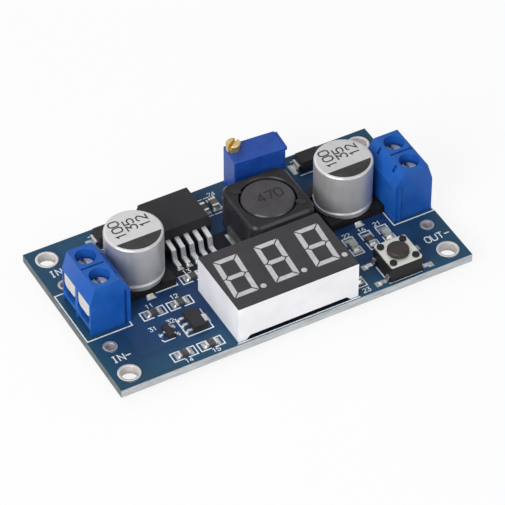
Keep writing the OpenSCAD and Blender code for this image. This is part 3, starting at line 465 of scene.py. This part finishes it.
# Terminal blocks, capacitors and packages
BLOCK = finish("block_plastic", srgb(29, 93, 178), srgb(18, 78, 161), (0.34, 0.48),
               mottle=0.25, grain=3.5, depth=0.012, Specular_IOR_Level=0.25)
CAN = metal("can_aluminium", srgb(211, 209, 209), (0.36, 0.48), dark=0.9, metallic=0.6,
            drawn=True, grain=2.2, depth=0.01)
BASE_PLASTIC = finish("base_plastic", srgb(34, 33, 35), srgb(22, 22, 24), (0.5, 0.62),
                      grain=5.0, Specular_IOR_Level=0.25)
PACKAGE = finish("package_epoxy", srgb(50, 48, 52), srgb(40, 38, 42), (0.5, 0.68),
                 mottle=0.35, grain=7.0, Specular_IOR_Level=0.22)

# Inductor and trimmer
FERRITE = ferrite_finish()
CORE = finish("ferrite_core", srgb(62, 58, 61), srgb(48, 45, 48), (0.22, 0.36),
              grain=4.0, depth=0.015, Specular_IOR_Level=0.5)
# Painted shade for the notches at two corners of the inductor's shield
NOTCH_SHADE = finish("painted_notch_shade", srgb(19, 17, 19), srgb(12, 11, 13), (0.3, 0.45),
              mottle=1.0, grain=2.0, depth=0.03, Specular_IOR_Level=0.4)
COPPER = metal("winding_copper", srgb(196, 120, 72), (0.3, 0.45), drawn=True, grain=3.0)
TRIMMER = finish("trimmer_plastic", srgb(31, 78, 164), srgb(20, 63, 145), (0.34, 0.48),
                 grain=4.0, depth=0.015, Specular_IOR_Level=0.3)
BRASS = metal("turned_brass", srgb(230, 198, 134), (0.26, 0.42), dark=0.78, metallic=0.8,
              mottle=1.4, grain=4.0, depth=0.015)

# Display and button
SHELL = shell_finish()
FACE = finish("display_face", FACE_PALE, FACE_DEEP, (0.5, 0.62),
              mottle=FACE_MOTTLE, depth=0.01, Specular_IOR_Level=0.22)
SEGMENT = finish("segment_resin", srgb(202, 199, 202), srgb(180, 177, 181), (0.42, 0.56),
                 mottle=0.9, grain=5.0, depth=0.015)
POTTING = finish("display_resin", srgb(226, 222, 206), srgb(206, 200, 180), (0.25, 0.4),
                 mottle=0.3, grain=1.0, depth=0.05)
COVER = metal("button_cover", srgb(224, 223, 217), (0.3, 0.44), dark=0.9, metallic=0.7,
              mottle=0.9, grain=3.0, depth=0.012)
PLUNGER = finish("plunger_plastic", srgb(58, 53, 50), srgb(44, 40, 38), (0.42, 0.56),
                 mottle=0.7, grain=5.0, Specular_IOR_Level=0.3)

# Chip parts
RESISTOR = finish("resistor_glaze", srgb(84, 83, 86), srgb(60, 59, 62), (0.3, 0.45),
                  mottle=1.5, grain=5.0, depth=0.01, Specular_IOR_Level=0.3)
CERAMIC = finish("capacitor_ceramic", srgb(108, 98, 82), srgb(86, 77, 62), (0.35, 0.5),
                 mottle=1.2, grain=5.0)
LAMP = finish("lamp_resin", srgb(196, 206, 196), srgb(168, 180, 168), (0.18, 0.32),
              mottle=1.2, grain=2.0, Transmission_Weight=0.2, IOR=1.5)


# The part's own solids

FINISHES = {
    "circuit_board": BOARD,
    "solder_joints": SOLDER,
    "regulator_body": PACKAGE,
    "regulator_tab": TINNED,
    "regulator_leads": LEAD,
    "inductor_shield": FERRITE,
    "inductor_core": CORE,
    "inductor_winding": COPPER,
    "inductor_terminals": DULL_TIN,
    "trimmer_housing": TRIMMER,
    "trimmer_screw": BRASS,
    "trimmer_potting": TRIMMER,
    "trimmer_pins": TINNED,
    "display_shell": SHELL,
    "display_face": FACE,
    "display_segments": SEGMENT,
    "display_potting": POTTING,
    "display_pins": TINNED,
    "button_base": BASE_PLASTIC,
    "button_cover": COVER,
    "button_plunger": PLUNGER,
    "button_dome": TINNED,
    "button_leads": TINNED,
    "meter_chip_body": PACKAGE,
    "meter_chip_leads": TINNED,
    "meter_supply_body": PACKAGE,
    "meter_supply_leads": TINNED,
    "transistor_body": PACKAGE,
    "transistor_leads": TINNED,
    "resistor_bodies": RESISTOR,
    "resistor_ends": SOLDER,
    "chip_capacitor_bodies": CERAMIC,
    "chip_capacitor_ends": SOLDER,
    "lamp_bodies": LAMP,
    "lamp_ends": SOLDER,
}
# Width in millimetres of the small rounds on the moulded edges
SOFT_EDGES = {
    "trimmer_housing": 0.1,
    "display_shell": 0.08,
    "regulator_body": 0.1,
    "regulator_leads": 0.07,
    "button_base": 0.06,
    "meter_supply_body": 0.06,
    "transistor_body": 0.05,
}
for end in ENDS:
    FINISHES[f"{end}_block_housing"] = BLOCK
    FINISHES[f"{end}_block_contacts"] = TINNED
    FINISHES[f"{end}_capacitor_can"] = CAN
    FINISHES[f"{end}_capacitor_base"] = BASE_PLASTIC
    FINISHES[f"{end}_capacitor_terminals"] = TINNED
    FINISHES[f"{end}_diode_body"] = PACKAGE
    FINISHES[f"{end}_diode_leads"] = TINNED
    for pole in ("negative", "positive"):
        FINISHES[f"{end}_{pole}_screw"] = STEEL
        FINISHES[f"{end}_{pole}_guard"] = STEEL
    SOFT_EDGES[f"{end}_block_housing"] = 0.14
    SOFT_EDGES[f"{end}_capacitor_base"] = 0.08
    SOFT_EDGES[f"{end}_diode_body"] = 0.08

# Distance in millimetres at which points are joined, and angle in degrees from which an edge is rounded
JOIN_REACH = 0.0001
SHARP_ANGLE = 40
ROUND_SEGMENTS = 2


def soften(node, width):
    """Small round on the sharp edges of one of the part's solids."""
    piece = NODES[node]
    joined = piece.modifiers.new("joined_points", "WELD")
    joined.merge_threshold = JOIN_REACH * MM
    rounds = piece.modifiers.new("soft_edges", "BEVEL")
    rounds.width = width * MM
    rounds.segments = ROUND_SEGMENTS
    rounds.limit_method = "ANGLE"
    rounds.angle_limit = math.radians(SHARP_ANGLE)
    rounds.harden_normals = True


for node, material in FINISHES.items():
    NODES[node].data.materials.clear()
    NODES[node].data.materials.append(material)
for node, width in SOFT_EDGES.items():
    soften(node, width)


# Mesh building, in millimetres

# Angles in degrees up to which edges are shaded smooth
PLATE_SMOOTH = 30
RING_SMOOTH = 50
MOUND_SMOOTH = 60
# Steps of a rounded corner
CORNER_STEPS = 4
# Least cosine used at a bend of a ribbon, so that a sharp mitre stays short
MITRE_LIMIT = 0.4
# Solder mound: steps a side, powers of its slope and of its round sides, and fall of its rim
MOUND_STEPS = 6
MOUND_SLOPE = 1.5
MOUND_ROUND = 6
RIM_FALL = 0.8


def mesh_object(name, bm, material):
    """Object in the scene made from a mesh in millimetres."""
    bmesh.ops.recalc_face_normals(bm, faces=bm.faces)
    bmesh.ops.scale(bm, vec=(MM, MM, MM), verts=bm.verts)
    mesh = bpy.data.meshes.new(name)
    bm.to_mesh(mesh)
    bm.free()
    mesh.materials.append(material)
    item = bpy.data.objects.new(name, mesh)
    bpy.context.scene.collection.objects.link(item)
    return item


def new_piece(name, bm, material, body=MODULE, smooth=PLATE_SMOOTH):
    """Smooth shaded piece made from a mesh in millimetres, riding on its body."""
    piece = mesh_object(name, bm, material)
    mesh = piece.data
    mesh.polygons.foreach_set("use_smooth", [True] * len(mesh.polygons))
    mesh.set_sharp_from_angle(angle=math.radians(smooth))
    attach(piece, body)


def add_plate(bm, outline, z, rise):
    """Flat plate with an outline of (x, y) points, from z up by rise."""
    low = [bm.verts.new((x, y, z)) for x, y in outline]
    high = [bm.verts.new((x, y, z + rise)) for x, y in outline]
    bm.faces.new(high)
    bm.faces.new(low[::-1])
    for i in range(len(low)):
        j = (i + 1) % len(low)
        bm.faces.new((low[i], low[j], high[j], high[i]))


def arc(centre, radius, start, end, steps):
    """Points of an arc between two angles in degrees, ends included."""
    angles = [math.radians(start + (end - start) * i / steps) for i in range(steps + 1)]
    return [(centre[0] + radius * math.cos(a), centre[1] + radius * math.sin(a)) for a in angles]


def rounded_rectangle(x0, y0, x1, y1, radius):
    """Outline of a rectangle with round corners."""
    corners = [((x1 - radius, y0 + radius), -90), ((x1 - radius, y1 - radius), 0),
               ((x0 + radius, y1 - radius), 90), ((x0 + radius, y0 + radius), 180)]
    outline = []
    for centre, start in corners:
        outline += arc(centre, radius, start, start + 90, CORNER_STEPS)
    return outline


def add_stroke(bm, path, width, z, rise, closed=False):
    """Mitred ribbon of the given width along (x, y) points."""
    points = [Vector(p) for p in path]
    count = len(points)
    rims = []
    for i, point in enumerate(points):
        first = (point - points[i - 1]) if closed or i else (points[1] - point)
        last = (points[(i + 1) % count] - point) if closed or i < count - 1 else first
        first, last = first.normalized(), last.normalized()
        across = Vector((-first.y - last.y, first.x + last.x)).normalized()
        reach = width / 2 / max(MITRE_LIMIT, across.dot(Vector((-first.y, first.x))))
        sides = (point + across * reach, point - across * reach)
        rims.append([bm.verts.new((p.x, p.y, h)) for p in sides for h in (z, z + rise)])
    # Each rim holds the low and high corner of one side, then of the other
    links = count if closed else count - 1
    for i in range(links):
        a, b = rims[i], rims[(i + 1) % count]
        for s, t in ((0, 1), (1, 3), (3, 2), (2, 0)):
            bm.faces.new((a[s], a[t], b[t], b[s]))
    if not closed:
        for rim in (rims[0], rims[-1]):
            bm.faces.new((rim[0], rim[1], rim[3], rim[2]))


def add_lathe(bm, profile, centre, steps):
    """Closed profile of (radius, z) points turned about an upright axis."""
    rings = []
    for i in range(steps):
        a = 2 * math.pi * i / steps
        rings.append([bm.verts.new((centre[0] + r * math.cos(a), centre[1] + r * math.sin(a), z))
                      for r, z in profile])
    for i in range(steps):
        a, b = rings[i], rings[(i + 1) % steps]
        for j in range(len(profile)):
            k = (j + 1) % len(profile)
            bm.faces.new((a[j], a[k], b[k], b[j]))


def add_mound(bm, foot, out, width, height, reach, base):
    """Solder that slopes down from an end face.

    Foot is the middle of the face's foot, out is the way the solder slopes and base is its level.
    """
    side = Vector((-out.y, out.x))
    top, floor = [], []
    for i in range(MOUND_STEPS + 1):
        u = i / MOUND_STEPS
        for j in range(MOUND_STEPS + 1):
            v = 2 * j / MOUND_STEPS - 1
            slope = height * (1 - u) ** MOUND_SLOPE * (1 - v ** MOUND_ROUND)
            rim = PAD_RISE * (1 - RIM_FALL * max(u, abs(v)) ** MOUND_ROUND)
            at = foot + out * (reach * u) + side * (width / 2 * v)
            top.append(bm.verts.new((at.x, at.y, base + (slope + rim))))
            floor.append(bm.verts.new((at.x, at.y, base - PAD_RISE / 2)))
    row = MOUND_STEPS + 1
    for i in range(MOUND_STEPS):
        for j in range(MOUND_STEPS):
            a = i * row + j
            for grid in (top, floor):
                bm.faces.new((grid[a], grid[a + 1], grid[a + row + 1], grid[a + row]))
    onward, back = range(MOUND_STEPS), range(MOUND_STEPS, 0, -1)
    border = [*onward]
    border += [i * row + MOUND_STEPS for i in onward]
    border += [MOUND_STEPS * row + j for j in back]
    border += [i * row for i in back]
    for n, a in enumerate(border):
        b = border[(n + 1) % len(border)]
        bm.faces.new((top[a], top[b], floor[b], floor[a]))


# Strokes of plain signs on a grid four wide and six high
SIGN_STROKES = {
    "0": [[(0, 1.2), (0, 4.8), (1, 6), (3, 6), (4, 4.8), (4, 1.2), (3, 0), (1, 0), (0, 1.2)]],
    "1": [[(0.8, 4.8), (2.2, 6), (2.2, 0)]],
    "2": [[(0, 4.8), (1, 6), (3, 6), (4, 5), (4, 4), (0, 0), (4, 0)]],
    "3": [[(0, 6), (4, 6), (2, 3.6), (3.2, 3.4), (4, 2.4), (4, 1), (3, 0), (1, 0), (0, 1)]],
    "4": [[(3, 0), (3, 6), (0, 1.8)], [(0.6, 1.8), (4, 1.8)]],
    "5": [[(4, 6), (0.4, 6), (0, 3.2), (2.8, 3.6), (4, 2.6), (4, 1), (3, 0), (1, 0), (0, 0.8)]],
    "6": [[(3.4, 6), (1.2, 4.8), (0, 2.6), (0, 1), (1, 0), (3, 0), (4, 1), (4, 2.4), (3, 3.4),
           (1, 3.4), (0.5, 3)]],
    "7": [[(0, 6), (4, 6), (1.4, 0)]],
    "I": [[(1, 0), (3, 0)], [(2, 0), (2, 6)], [(1, 6), (3, 6)]],
    "N": [[(0, 0), (0, 6), (4, 0), (4, 6)]],
    "U": [[(0, 6), (0, 1.2), (1, 0), (3, 0), (4, 1.2), (4, 6)]],
    "T": [[(0, 6), (4, 6)], [(2, 6), (2, 0)]],
    "+": [[(0, 3), (4, 3)], [(2, 1), (2, 5)]],
    "-": [[(0, 3), (4, 3)]],
}
SIGN_STROKES["O"] = SIGN_STROKES["0"]
SIGN_W, SIGN_H, SIGN_STEP = 4, 6, 5.2
# Extra height of each further stroke, so that no two strokes share a face
LAYER_STEP = 0.003


def add_signs(bm, text, at, height, turn, width, z, rise):
    """Row of plain signs centred on a point and turned by some degrees."""
    unit = height / SIGN_H
    length = (len(text) - 1) * SIGN_STEP + SIGN_W
    turned = Matrix.Rotation(math.radians(turn), 2)
    for i, sign in enumerate(text):
        for layer, stroke in enumerate(SIGN_STROKES[sign]):
            closed = stroke[0] == stroke[-1]
            points = stroke[1:] if closed else stroke
            path = [Vector((x + i * SIGN_STEP - length / 2, y - SIGN_H / 2)) * unit for x, y in points]
            path = [turned @ p + Vector(at) for p in path]
            add_stroke(bm, path, width, z, rise + layer * LAYER_STEP, closed)


# Plated holes

# Place in one quarter of the board, radius of the hole and of its ring
FIXING_HOLE = (30.0, 15.0, 1.5, 1.98)
WIRE_HOLE = (30.0, 8.18, 0.75, 1.25)
# Thickness inside the hole, reach into the board past the hole and the ring, and bevel of the ring
BARREL_WALL = 0.03
PLATING_SEAT = 0.02
RING_LIP = 0.06
RING_STEPS = 48


def plated_holes(name, at, material):
    """Plated barrel with a ring on both faces of the board, in all four quarters."""
    x, y, hole, ring = at
    bore, wall, outer = hole - BARREL_WALL, hole + PLATING_SEAT, ring + PLATING_SEAT
    low, high = BOARD_FOOT - PLATING_RISE, BOARD_TOP + PLATING_RISE
    above, below = low + RING_LIP, high - RING_LIP
    inner_flat, outer_flat = bore + RING_LIP, outer - RING_LIP
    profile = [
        (bore, above), (inner_flat, low), (outer_flat, low), (outer, above), (wall, above),
        (wall, below), (outer, below), (outer_flat, high), (inner_flat, high), (bore, below),
    ]
    bm = bmesh.new()
    for sx in WAYS:
        for sy in WAYS:
            add_lathe(bm, profile, (sx * x, sy * y), RING_STEPS)
    new_piece(name, bm, material, smooth=RING_SMOOTH)


# Copper areas under the solder mask, by low x, low y, high x and high y

POUR_RADIUS = 0.5
TOP_POURS = (
    (-27.2, 6.2, -13.6, 17.2),
    (-12.9, 7.8, -3.1, 17.2),
    (0.2, -3.0, 12.6, 10.2),
    (13.4, 8.9, 27.2, 17.2),
    (13.4, -2.6, 24.6, 8.1),
    (-26.6, -17.2, -12.0, -13.4),
    (-26.6, -12.6, -12.0, -2.4),
    (-23.8, -1.6, -14.4, 5.4),
    (-13.4, -1.6, -2.9, 0.8),
    (12.2, -17.4, 26.8, -11.8),
    (13.0, -10.4, 26.8, -3.4),
)
UNDER_POURS = (
    (-27.2, -17.2, -9.2, 17.2),
    (9.2, -17.2, 27.2, 17.2),
    (-8.4, -2.4, 8.4, 17.2),
)


def copper_pours():
    """Copper areas that show as low steps in the mask on both faces of the board."""
    bm = bmesh.new()
    for pours, z in ((TOP_POURS, BOARD_TOP), (UNDER_POURS, BOARD_FOOT - POUR_RISE)):
        for corners in pours:
            add_plate(bm, rounded_rectangle(*corners, POUR_RADIUS), z, POUR_RISE)
    new_piece("copper_pours", bm, POUR)


# Pads and solder round the leads

# Chip parts: reach of a pad past its end, its extra width and height of the solder
CHIP_PADS = {
    "resistor": (0.6, 0.24, 0.32),
    "chip_capacitor": (0.6, 0.24, 0.32),
    "lamp": (0.8, 0.3, 0.32),
}
# The same for leads that point along X, and for the regulator's leads
LEAD_PADS = {
    "in_diode_leads": (0.9, 0.5, 0.55),
    "out_diode_leads": (0.9, 0.5, 0.55),
    "inductor_terminals": (0.5, 0.3, 0.4),
    "button_leads": (1.0, 0.35, 0.2),
    "meter_supply_leads": (0.35, 0.4, 0.2),
    "transistor_leads": (0.35, 0.5, 0.15),
}
REGULATOR_PAD = (0.6, 0.3, 0.3)
# Reach of the solder on chip parts and on leads
CHIP_SLOPE = 0.42
LEAD_SLOPE = 0.4
# Pads of the meter chip: start under the lead, reach and extra width
METER_PAD = (0.5, 0.9, 0.1)
# Solder of the capacitors: start under the terminal, extra width, height and reach
CAPACITOR_SOLDER = (0.3, 0.6, 0.4, 0.85)


def main_axis(vector):
    """Unit direction along X or Y that a flat vector follows most."""
    if abs(vector.x) > abs(vector.y):
        return Vector((math.copysign(1, vector.x), 0))
    return Vector((0, math.copysign(1, vector.y)))


def nearest(points, at):
    """The one of some points that lies nearest to a place."""
    return min(points, key=lambda point: (point - at).length)


def end_of(box, out):
    """Middle of the box's face towards out, and the box's width across it."""
    half = flat(box[1] - box[0]) / 2
    at = flat(middle(box)) + Vector((out.x * half.x, out.y * half.y))
    return at, 2 * (half.y if out.x else half.x)


def add_pad(bm, foot, out, width, reach, z=BOARD_TOP):
    """Flat pad from the foot of an end face outwards."""
    side = Vector((-out.y, out.x)) * (width / 2)
    tip = foot + out * reach
    add_plate(bm, [foot - side, tip - side, tip + side, foot + side], z, PAD_RISE)


def add_joint(pads, solder, box, out, pad, slope):
    """Pad and solder at an end face; pad gives reach, extra width and height of the solder."""
    reach, margin, height = pad
    foot, width = end_of(box, out)
    add_pad(pads, foot, out, width + margin, reach)
    add_mound(solder, foot, out, width, height, slope, BOARD_TOP + PAD_RISE / 2)


def chip_joints(pads, solder):
    """Pads and solder at both ends of the chip parts."""
    for kind, pad in CHIP_PADS.items():
        centres = [flat(middle(box)) for box in solids_of(f"{kind}_bodies")]
        for box in solids_of(f"{kind}_ends"):
            at = flat(middle(box))
            out = main_axis(at - nearest(centres, at))
            add_joint(pads, solder, box, out, pad, CHIP_SLOPE)


def lead_joints(pads, solder):
    """Pads and solder of the leads that point along X, away from the middle of their part."""
    for node, pad in LEAD_PADS.items():
        boxes = solids_of(node)
        centre = flat(sum((middle(box) for box in boxes), Vector()) / len(boxes))
        for box in boxes:
            out = Vector((math.copysign(1, middle(box).x - centre.x), 0))
            add_joint(pads, solder, box, out, pad, LEAD_SLOPE)


def meter_chip_pads(pads):
    """Pads of the meter chip under the board."""
    start, reach, margin = METER_PAD
    centre = flat(middle(node_box("meter_chip_body")))
    for box in solids_of("meter_chip_leads"):
        out = main_axis(flat(middle(box)) - centre)
        foot, width = end_of(box, out)
        add_pad(pads, foot - out * start, out, width + margin, reach, BOARD_FOOT - PAD_RISE)


def regulator_joints(pads, solder):
    """Pads and solder of the regulator's leads, which point to the front."""
    front = Vector((0, -1))
    for box in solids_of("regulator_leads"):
        add_joint(pads, solder, box, front, REGULATOR_PAD, LEAD_SLOPE)


def capacitor_joints(solder):
    """Solder on the capacitors' flat terminals, which point along Y."""
    start, margin, height, slope = CAPACITOR_SOLDER
    for end in ENDS:
        centre = middle(node_box(f"{end}_capacitor_can"))
        for box in solids_of(f"{end}_capacitor_terminals"):
            out = Vector((0, math.copysign(1, middle(box).y - centre.y)))
            foot, width = end_of(box, out)
            add_mound(solder, foot - out * start, out, width + margin, height, slope, BOARD_TOP)


def pads_and_solder():
    """One piece with all the pads and one with all the solder fillets."""
    pads, solder = bmesh.new(), bmesh.new()
    chip_joints(pads, solder)
    lead_joints(pads, solder)
    meter_chip_pads(pads)
    regulator_joints(pads, solder)
    capacitor_joints(solder)
    new_piece("board_pads", pads, PAD)
    new_piece("solder_fillets", solder, SOLDER, smooth=MOUND_SMOOTH)


# White print on the board

INK_W = 0.2
# Half length, half width and half gap of the brackets round a chip part
BRACKET = (2.15, 0.98, 0.33)
PRINT_LINES = (
    ((-24.6, -4.2), (-24.55, -5.57), (-32.8, -5.57), (-32.8, 6.47), (-24.6, 6.47), (-24.6, 5.1)),
    ((25.0, -1.0), (25.05, -5.65), (32.88, -5.65), (32.88, 5.95), (25.05, 5.95), (25.0, 4.6)),
    ((-17.7, -0.78), (-13.62, -0.78), (-13.62, 0.6)),
    ((-17.8, -7.65), (-17.8, -12.35), (-13.1, -12.35), (-13.1, -7.5)),
    ((-21.95, -10.95), (-21.7, -11.55), (-19.75, -11.55)),
    ((17.3, -12.9), (17.3, -16.0)),
    ((23.8, -12.9), (23.8, -16.0)),
    ((17.3, -17.4), (23.6, -17.4)),
    ((-11.5, -17.74), (11.5, -17.74)),
    ((17.3, 12.7), (22.7, 12.7)),
    ((17.3, 16.5), (22.7, 16.5)),
    ((-21.6, 12.7), (-16.2, 12.7)),
    ((-21.6, 16.5), (-16.2, 16.5)),
)
# Height of the words and of the part numbers, and width of their strokes as a share of it
WORD_H = 1.4
NUMBER_H = 0.86
STROKE_SHARE = 0.14
WORDS = {
    "IN-": (-29.5, -11.25),
    "OUT-": (30.05, -11.45),
    "IN+": (-29.5, 11.4),
    "OUT+": (30.05, 11.4),
}
NUMBERS = {
    "11": (-20.13, -2.98),
    "12": (-15.49, -2.93),
    "31": (-22.09, -8.01),
    "32": (-18.72, -7.78),
    "13": (-10.88, 1.26),
    "14": (-20.14, -17.1),
    "15": (-15.15, -17.1),
    "16": (19.61, -4.04),
    "21": (22.65, -3.89),
    "22": (16.64, -4.07),
    "23": (13.2, -16.9),
    "24": (1.6, 16.0),
}


def add_brackets(bm, kind):
    """Two brackets round each chip part of a kind, open towards each other."""
    length, width, gap = BRACKET
    corners = ((gap, -width), (length, -width), (length, width), (gap, width))
    tips = [flat(middle(box)) for box in solids_of(f"{kind}_ends")]
    for box in solids_of(f"{kind}_bodies"):
        at = flat(middle(box))
        along = main_axis(nearest(tips, at) - at)
        across = Vector((-along.y, along.x))
        for way in WAYS:
            path = [at + along * (way * a) + across * b for a, b in corners]
            add_stroke(bm, path, INK_W, BOARD_TOP, INK_RISE)


def board_print():
    """Brackets, lines, words and part numbers in white ink."""
    bm = bmesh.new()
    for kind in CHIP_PADS:
        add_brackets(bm, kind)
    for line in PRINT_LINES:
        add_stroke(bm, line, INK_W, BOARD_TOP, INK_RISE)
    for marks, height in ((WORDS, WORD_H), (NUMBERS, NUMBER_H)):
        for text, at in marks.items():
            add_signs(bm, text, at, height, 0, height * STROKE_SHARE, BOARD_TOP, INK_RISE)
    new_piece("board_print", bm, INK)


# Prints on the capacitors and the inductor

# Depth that a print starts below the surface, and its thickness
INK_SINK = 0.005
PRINT_RISE = 0.02
# Capacitor: width left bare at the rim, and place of the straight side of the black segment
CAN_EDGE = 0.45
SEGMENT_CHORD = -1.95
SEGMENT_STEPS = 40
# Rows of numbers, with their places from the middle of the can
CAN_ROWS = {
    "100": (-2.35, 1.2),
    "35": (0.1, 1.4),
    "12": (2.5, 1.3),
}
CAN_SIGN_H = 1.75
CAN_SIGN_TURN = 90
CAN_INK_W = 0.26
CORE_NUMBER = "470"
CORE_NUMBER_AT = (0.6, 0.5)
CORE_SIGN_H = 1.9
CORE_INK_W = 0.34


def capacitor_print(end):
    """Black segment and rows of numbers on the top of a capacitor."""
    low, high = node_box(f"{end}_capacitor_can")
    at = flat((low + high) / 2)
    radius = (high.x - low.x) / 2 - CAN_EDGE
    z = high.z - INK_SINK
    bm = bmesh.new()
    side = math.degrees(math.asin(SEGMENT_CHORD / radius))
    add_plate(bm, arc(at, radius, -180 - side, side, SEGMENT_STEPS), z, PRINT_RISE)
    for text, place in CAN_ROWS.items():
        add_signs(bm, text, at + Vector(place), CAN_SIGN_H, CAN_SIGN_TURN, CAN_INK_W, z, PRINT_RISE)
    new_piece(f"{end}_capacitor_print", bm, BLACK_INK)


def inductor_print():
    """Number on the top of the inductor's core."""
    low, high = node_box("inductor_core")
    at = flat((low + high) / 2) + Vector(CORE_NUMBER_AT)
    bm = bmesh.new()
    add_signs(bm, CORE_NUMBER, at, CORE_SIGN_H, 0, CORE_INK_W, high.z - INK_SINK, PRINT_RISE)
    new_piece("inductor_print", bm, CORE_INK)


# Painted shade: dark patches that stand in for the shade in two corner notches of the inductor's shield

# Angles about the core in degrees, distance from its axis, half sizes and rise above the shield
NOTCH_SHADE_ANGLES = (137, -40)
NOTCH_SHADE_REACH = 5.6
NOTCH_SHADE_HALF_L, NOTCH_SHADE_HALF_W = 0.95, 0.6
NOTCH_SHADE_RISE = 0.06
NOTCH_SHADE_STEPS = 24


def inductor_notch_shade():
    """Dark oval patches of painted shade at two corners of the shield."""
    centre = flat(middle(node_box("inductor_core")))
    top = node_box("inductor_shield")[1].z
    circle = arc((0, 0), 1, 0, 360 - 360 / NOTCH_SHADE_STEPS, NOTCH_SHADE_STEPS - 1)
    bm = bmesh.new()
    for angle in NOTCH_SHADE_ANGLES:
        turned = Matrix.Rotation(math.radians(angle), 2)
        shade_patch = [turned @ Vector((NOTCH_SHADE_REACH + NOTCH_SHADE_HALF_L * x, NOTCH_SHADE_HALF_W * y)) + centre
                for x, y in circle]
        add_plate(bm, shade_patch, top - NOTCH_SHADE_RISE, 2 * NOTCH_SHADE_RISE)
    new_piece("inductor_notch_shade", bm, NOTCH_SHADE)


# Stage

# Half side and thickness of the floor in millimetres
FLOOR_HALF = 4000.0
FLOOR_RISE = 1.0
# Share of white that the floor shows to the camera, and that a mirrored background keeps
FLOOR_WHITE = 0.86
MIRRORED_WHITE = 0.5
AMBIENT_COLOUR = (0.96, 0.98, 1.0, 1.0)
AMBIENT_STRENGTH = 0.33
BACKDROP_COLOUR = (1.0, 1.0, 1.0, 1.0)
BACKDROP_STRENGTH = 1.0
# Soft square lamps: place and side in millimetres, and power in watts
LAMPS = {
    "key_lamp": ((-550, -320, 420), 450, 4.7),
    "front_lamp": ((250, -580, 420), 300, 0.85),
    "back_lamp": ((-100, 500, 600), 600, 1.5),
}


def white_rays(tree):
    """Share of white background that a ray sees: all from the camera, and part off metal or resin."""
    rays = tree.nodes.new("ShaderNodeLightPath").outputs
    passed_on = calculated(tree, "ADD", rays["Is Glossy Ray"], rays["Is Transmission Ray"])
    mirrored = calculated(tree, "MULTIPLY", passed_on, MIRRORED_WHITE)
    return calculated(tree, "ADD", rays["Is Camera Ray"], mirrored)


def blend_shaders(tree, share, first, second, output):
    """Send a blend of two shader nodes to the named output node."""
    blend = tree.nodes.new("ShaderNodeMixShader")
    tree.links.new(share, blend.inputs["Fac"])
    tree.links.new(first.outputs[0], blend.inputs[1])
    tree.links.new(second.outputs[0], blend.inputs[2])
    tree.links.new(blend.outputs["Shader"], tree.nodes[output].inputs["Surface"])


def floor_finish():
    """Pale floor that keeps the shadow and otherwise looks white."""
    material = finish("pale_floor", srgb(244, 244, 244), srgb(240, 240, 240), (0.8, 0.9),
                      mottle=0.01, grain=0.05, depth=0.0)
    tree = material.node_tree
    white = tree.nodes.new("ShaderNodeEmission")
    share = calculated(tree, "MULTIPLY", white_rays(tree), FLOOR_WHITE)
    blend_shaders(tree, share, tree.nodes[SHADER], white, "Material Output")
    return material


def stage_floor():
    """Square floor under the part."""
    corners = [(-FLOOR_HALF, -FLOOR_HALF), (FLOOR_HALF, -FLOOR_HALF),
               (FLOOR_HALF, FLOOR_HALF), (-FLOOR_HALF, FLOOR_HALF)]
    bm = bmesh.new()
    add_plate(bm, corners, cad_low.z / MM - FLOOR_RISE, FLOOR_RISE)
    floor = mesh_object("floor", bm, floor_finish())


def world_light():
    """Even light from all sides, and a white backdrop for the camera and for mirrors."""
    world = bpy.data.worlds.new("studio")
    bpy.context.scene.world = world
    world.use_nodes = True
    tree = world.node_tree
    ambient = tree.nodes["Background"]
    ambient.inputs["Color"].default_value = AMBIENT_COLOUR
    ambient.inputs["Strength"].default_value = AMBIENT_STRENGTH
    backdrop = tree.nodes.new("ShaderNodeBackground")
    backdrop.inputs["Color"].default_value = BACKDROP_COLOUR
    backdrop.inputs["Strength"].default_value = BACKDROP_STRENGTH
    blend_shaders(tree, white_rays(tree), ambient, backdrop, "World Output")


def soft_lamp(name, place, side, power):
    """Square lamp that points at the origin."""
    data = bpy.data.lights.new(name, "AREA")
    data.shape = "SQUARE"
    data.size = side * MM
    data.energy = power
    lamp = bpy.data.objects.new(name, data)
    lamp.location = [c * MM for c in place]
    lamp.rotation_euler = (-lamp.location).to_track_quat("-Z", "Y").to_euler()
    bpy.context.scene.collection.objects.link(lamp)


def studio_camera():
    """Camera at the place that the photograph was taken from."""
    azimuth, elevation = math.radians(VIEW_AZIMUTH), math.radians(VIEW_ELEVATION)
    level = math.cos(elevation)
    back = Vector((math.sin(azimuth) * level, -math.cos(azimuth) * level, math.sin(elevation)))
    right = Vector((0, 0, 1)).cross(back).normalized()
    up = back.cross(right)
    place = right * VIEW_OFFSET[0] + up * VIEW_OFFSET[1] + back * VIEW_DISTANCE
    place += Vector((0, 0, VIEW_CENTRE_Z))
    data = bpy.data.cameras.new("camera")
    data.sensor_width = SENSOR
    data.lens = FOCAL_PIXELS * SENSOR / FRAME_PIXELS
    data.clip_start = CLIP_NEAR * MM
    data.clip_end = CLIP_FAR * MM
    camera = bpy.data.objects.new("camera", data)
    turn = Matrix((right, up, back)).transposed().to_4x4()
    camera.matrix_world = Matrix.Translation(place * MM) @ turn
    bpy.context.scene.collection.objects.link(camera)
    bpy.context.scene.camera = camera


# The scene and its pieces

studio_camera()
world_light()
stage_floor()
for lamp, (place, side, power) in LAMPS.items():
    soft_lamp(lamp, place, side, power)
bpy.context.scene.view_settings.view_transform = "Standard"

plated_holes("fixing_hole_plating", FIXING_HOLE, PLATING)
plated_holes("wire_hole_plating", WIRE_HOLE, DULL_PLATING)
copper_pours()
pads_and_solder()
board_print()
for end in ENDS:
    capacitor_print(end)
inductor_print()
inductor_notch_shade()
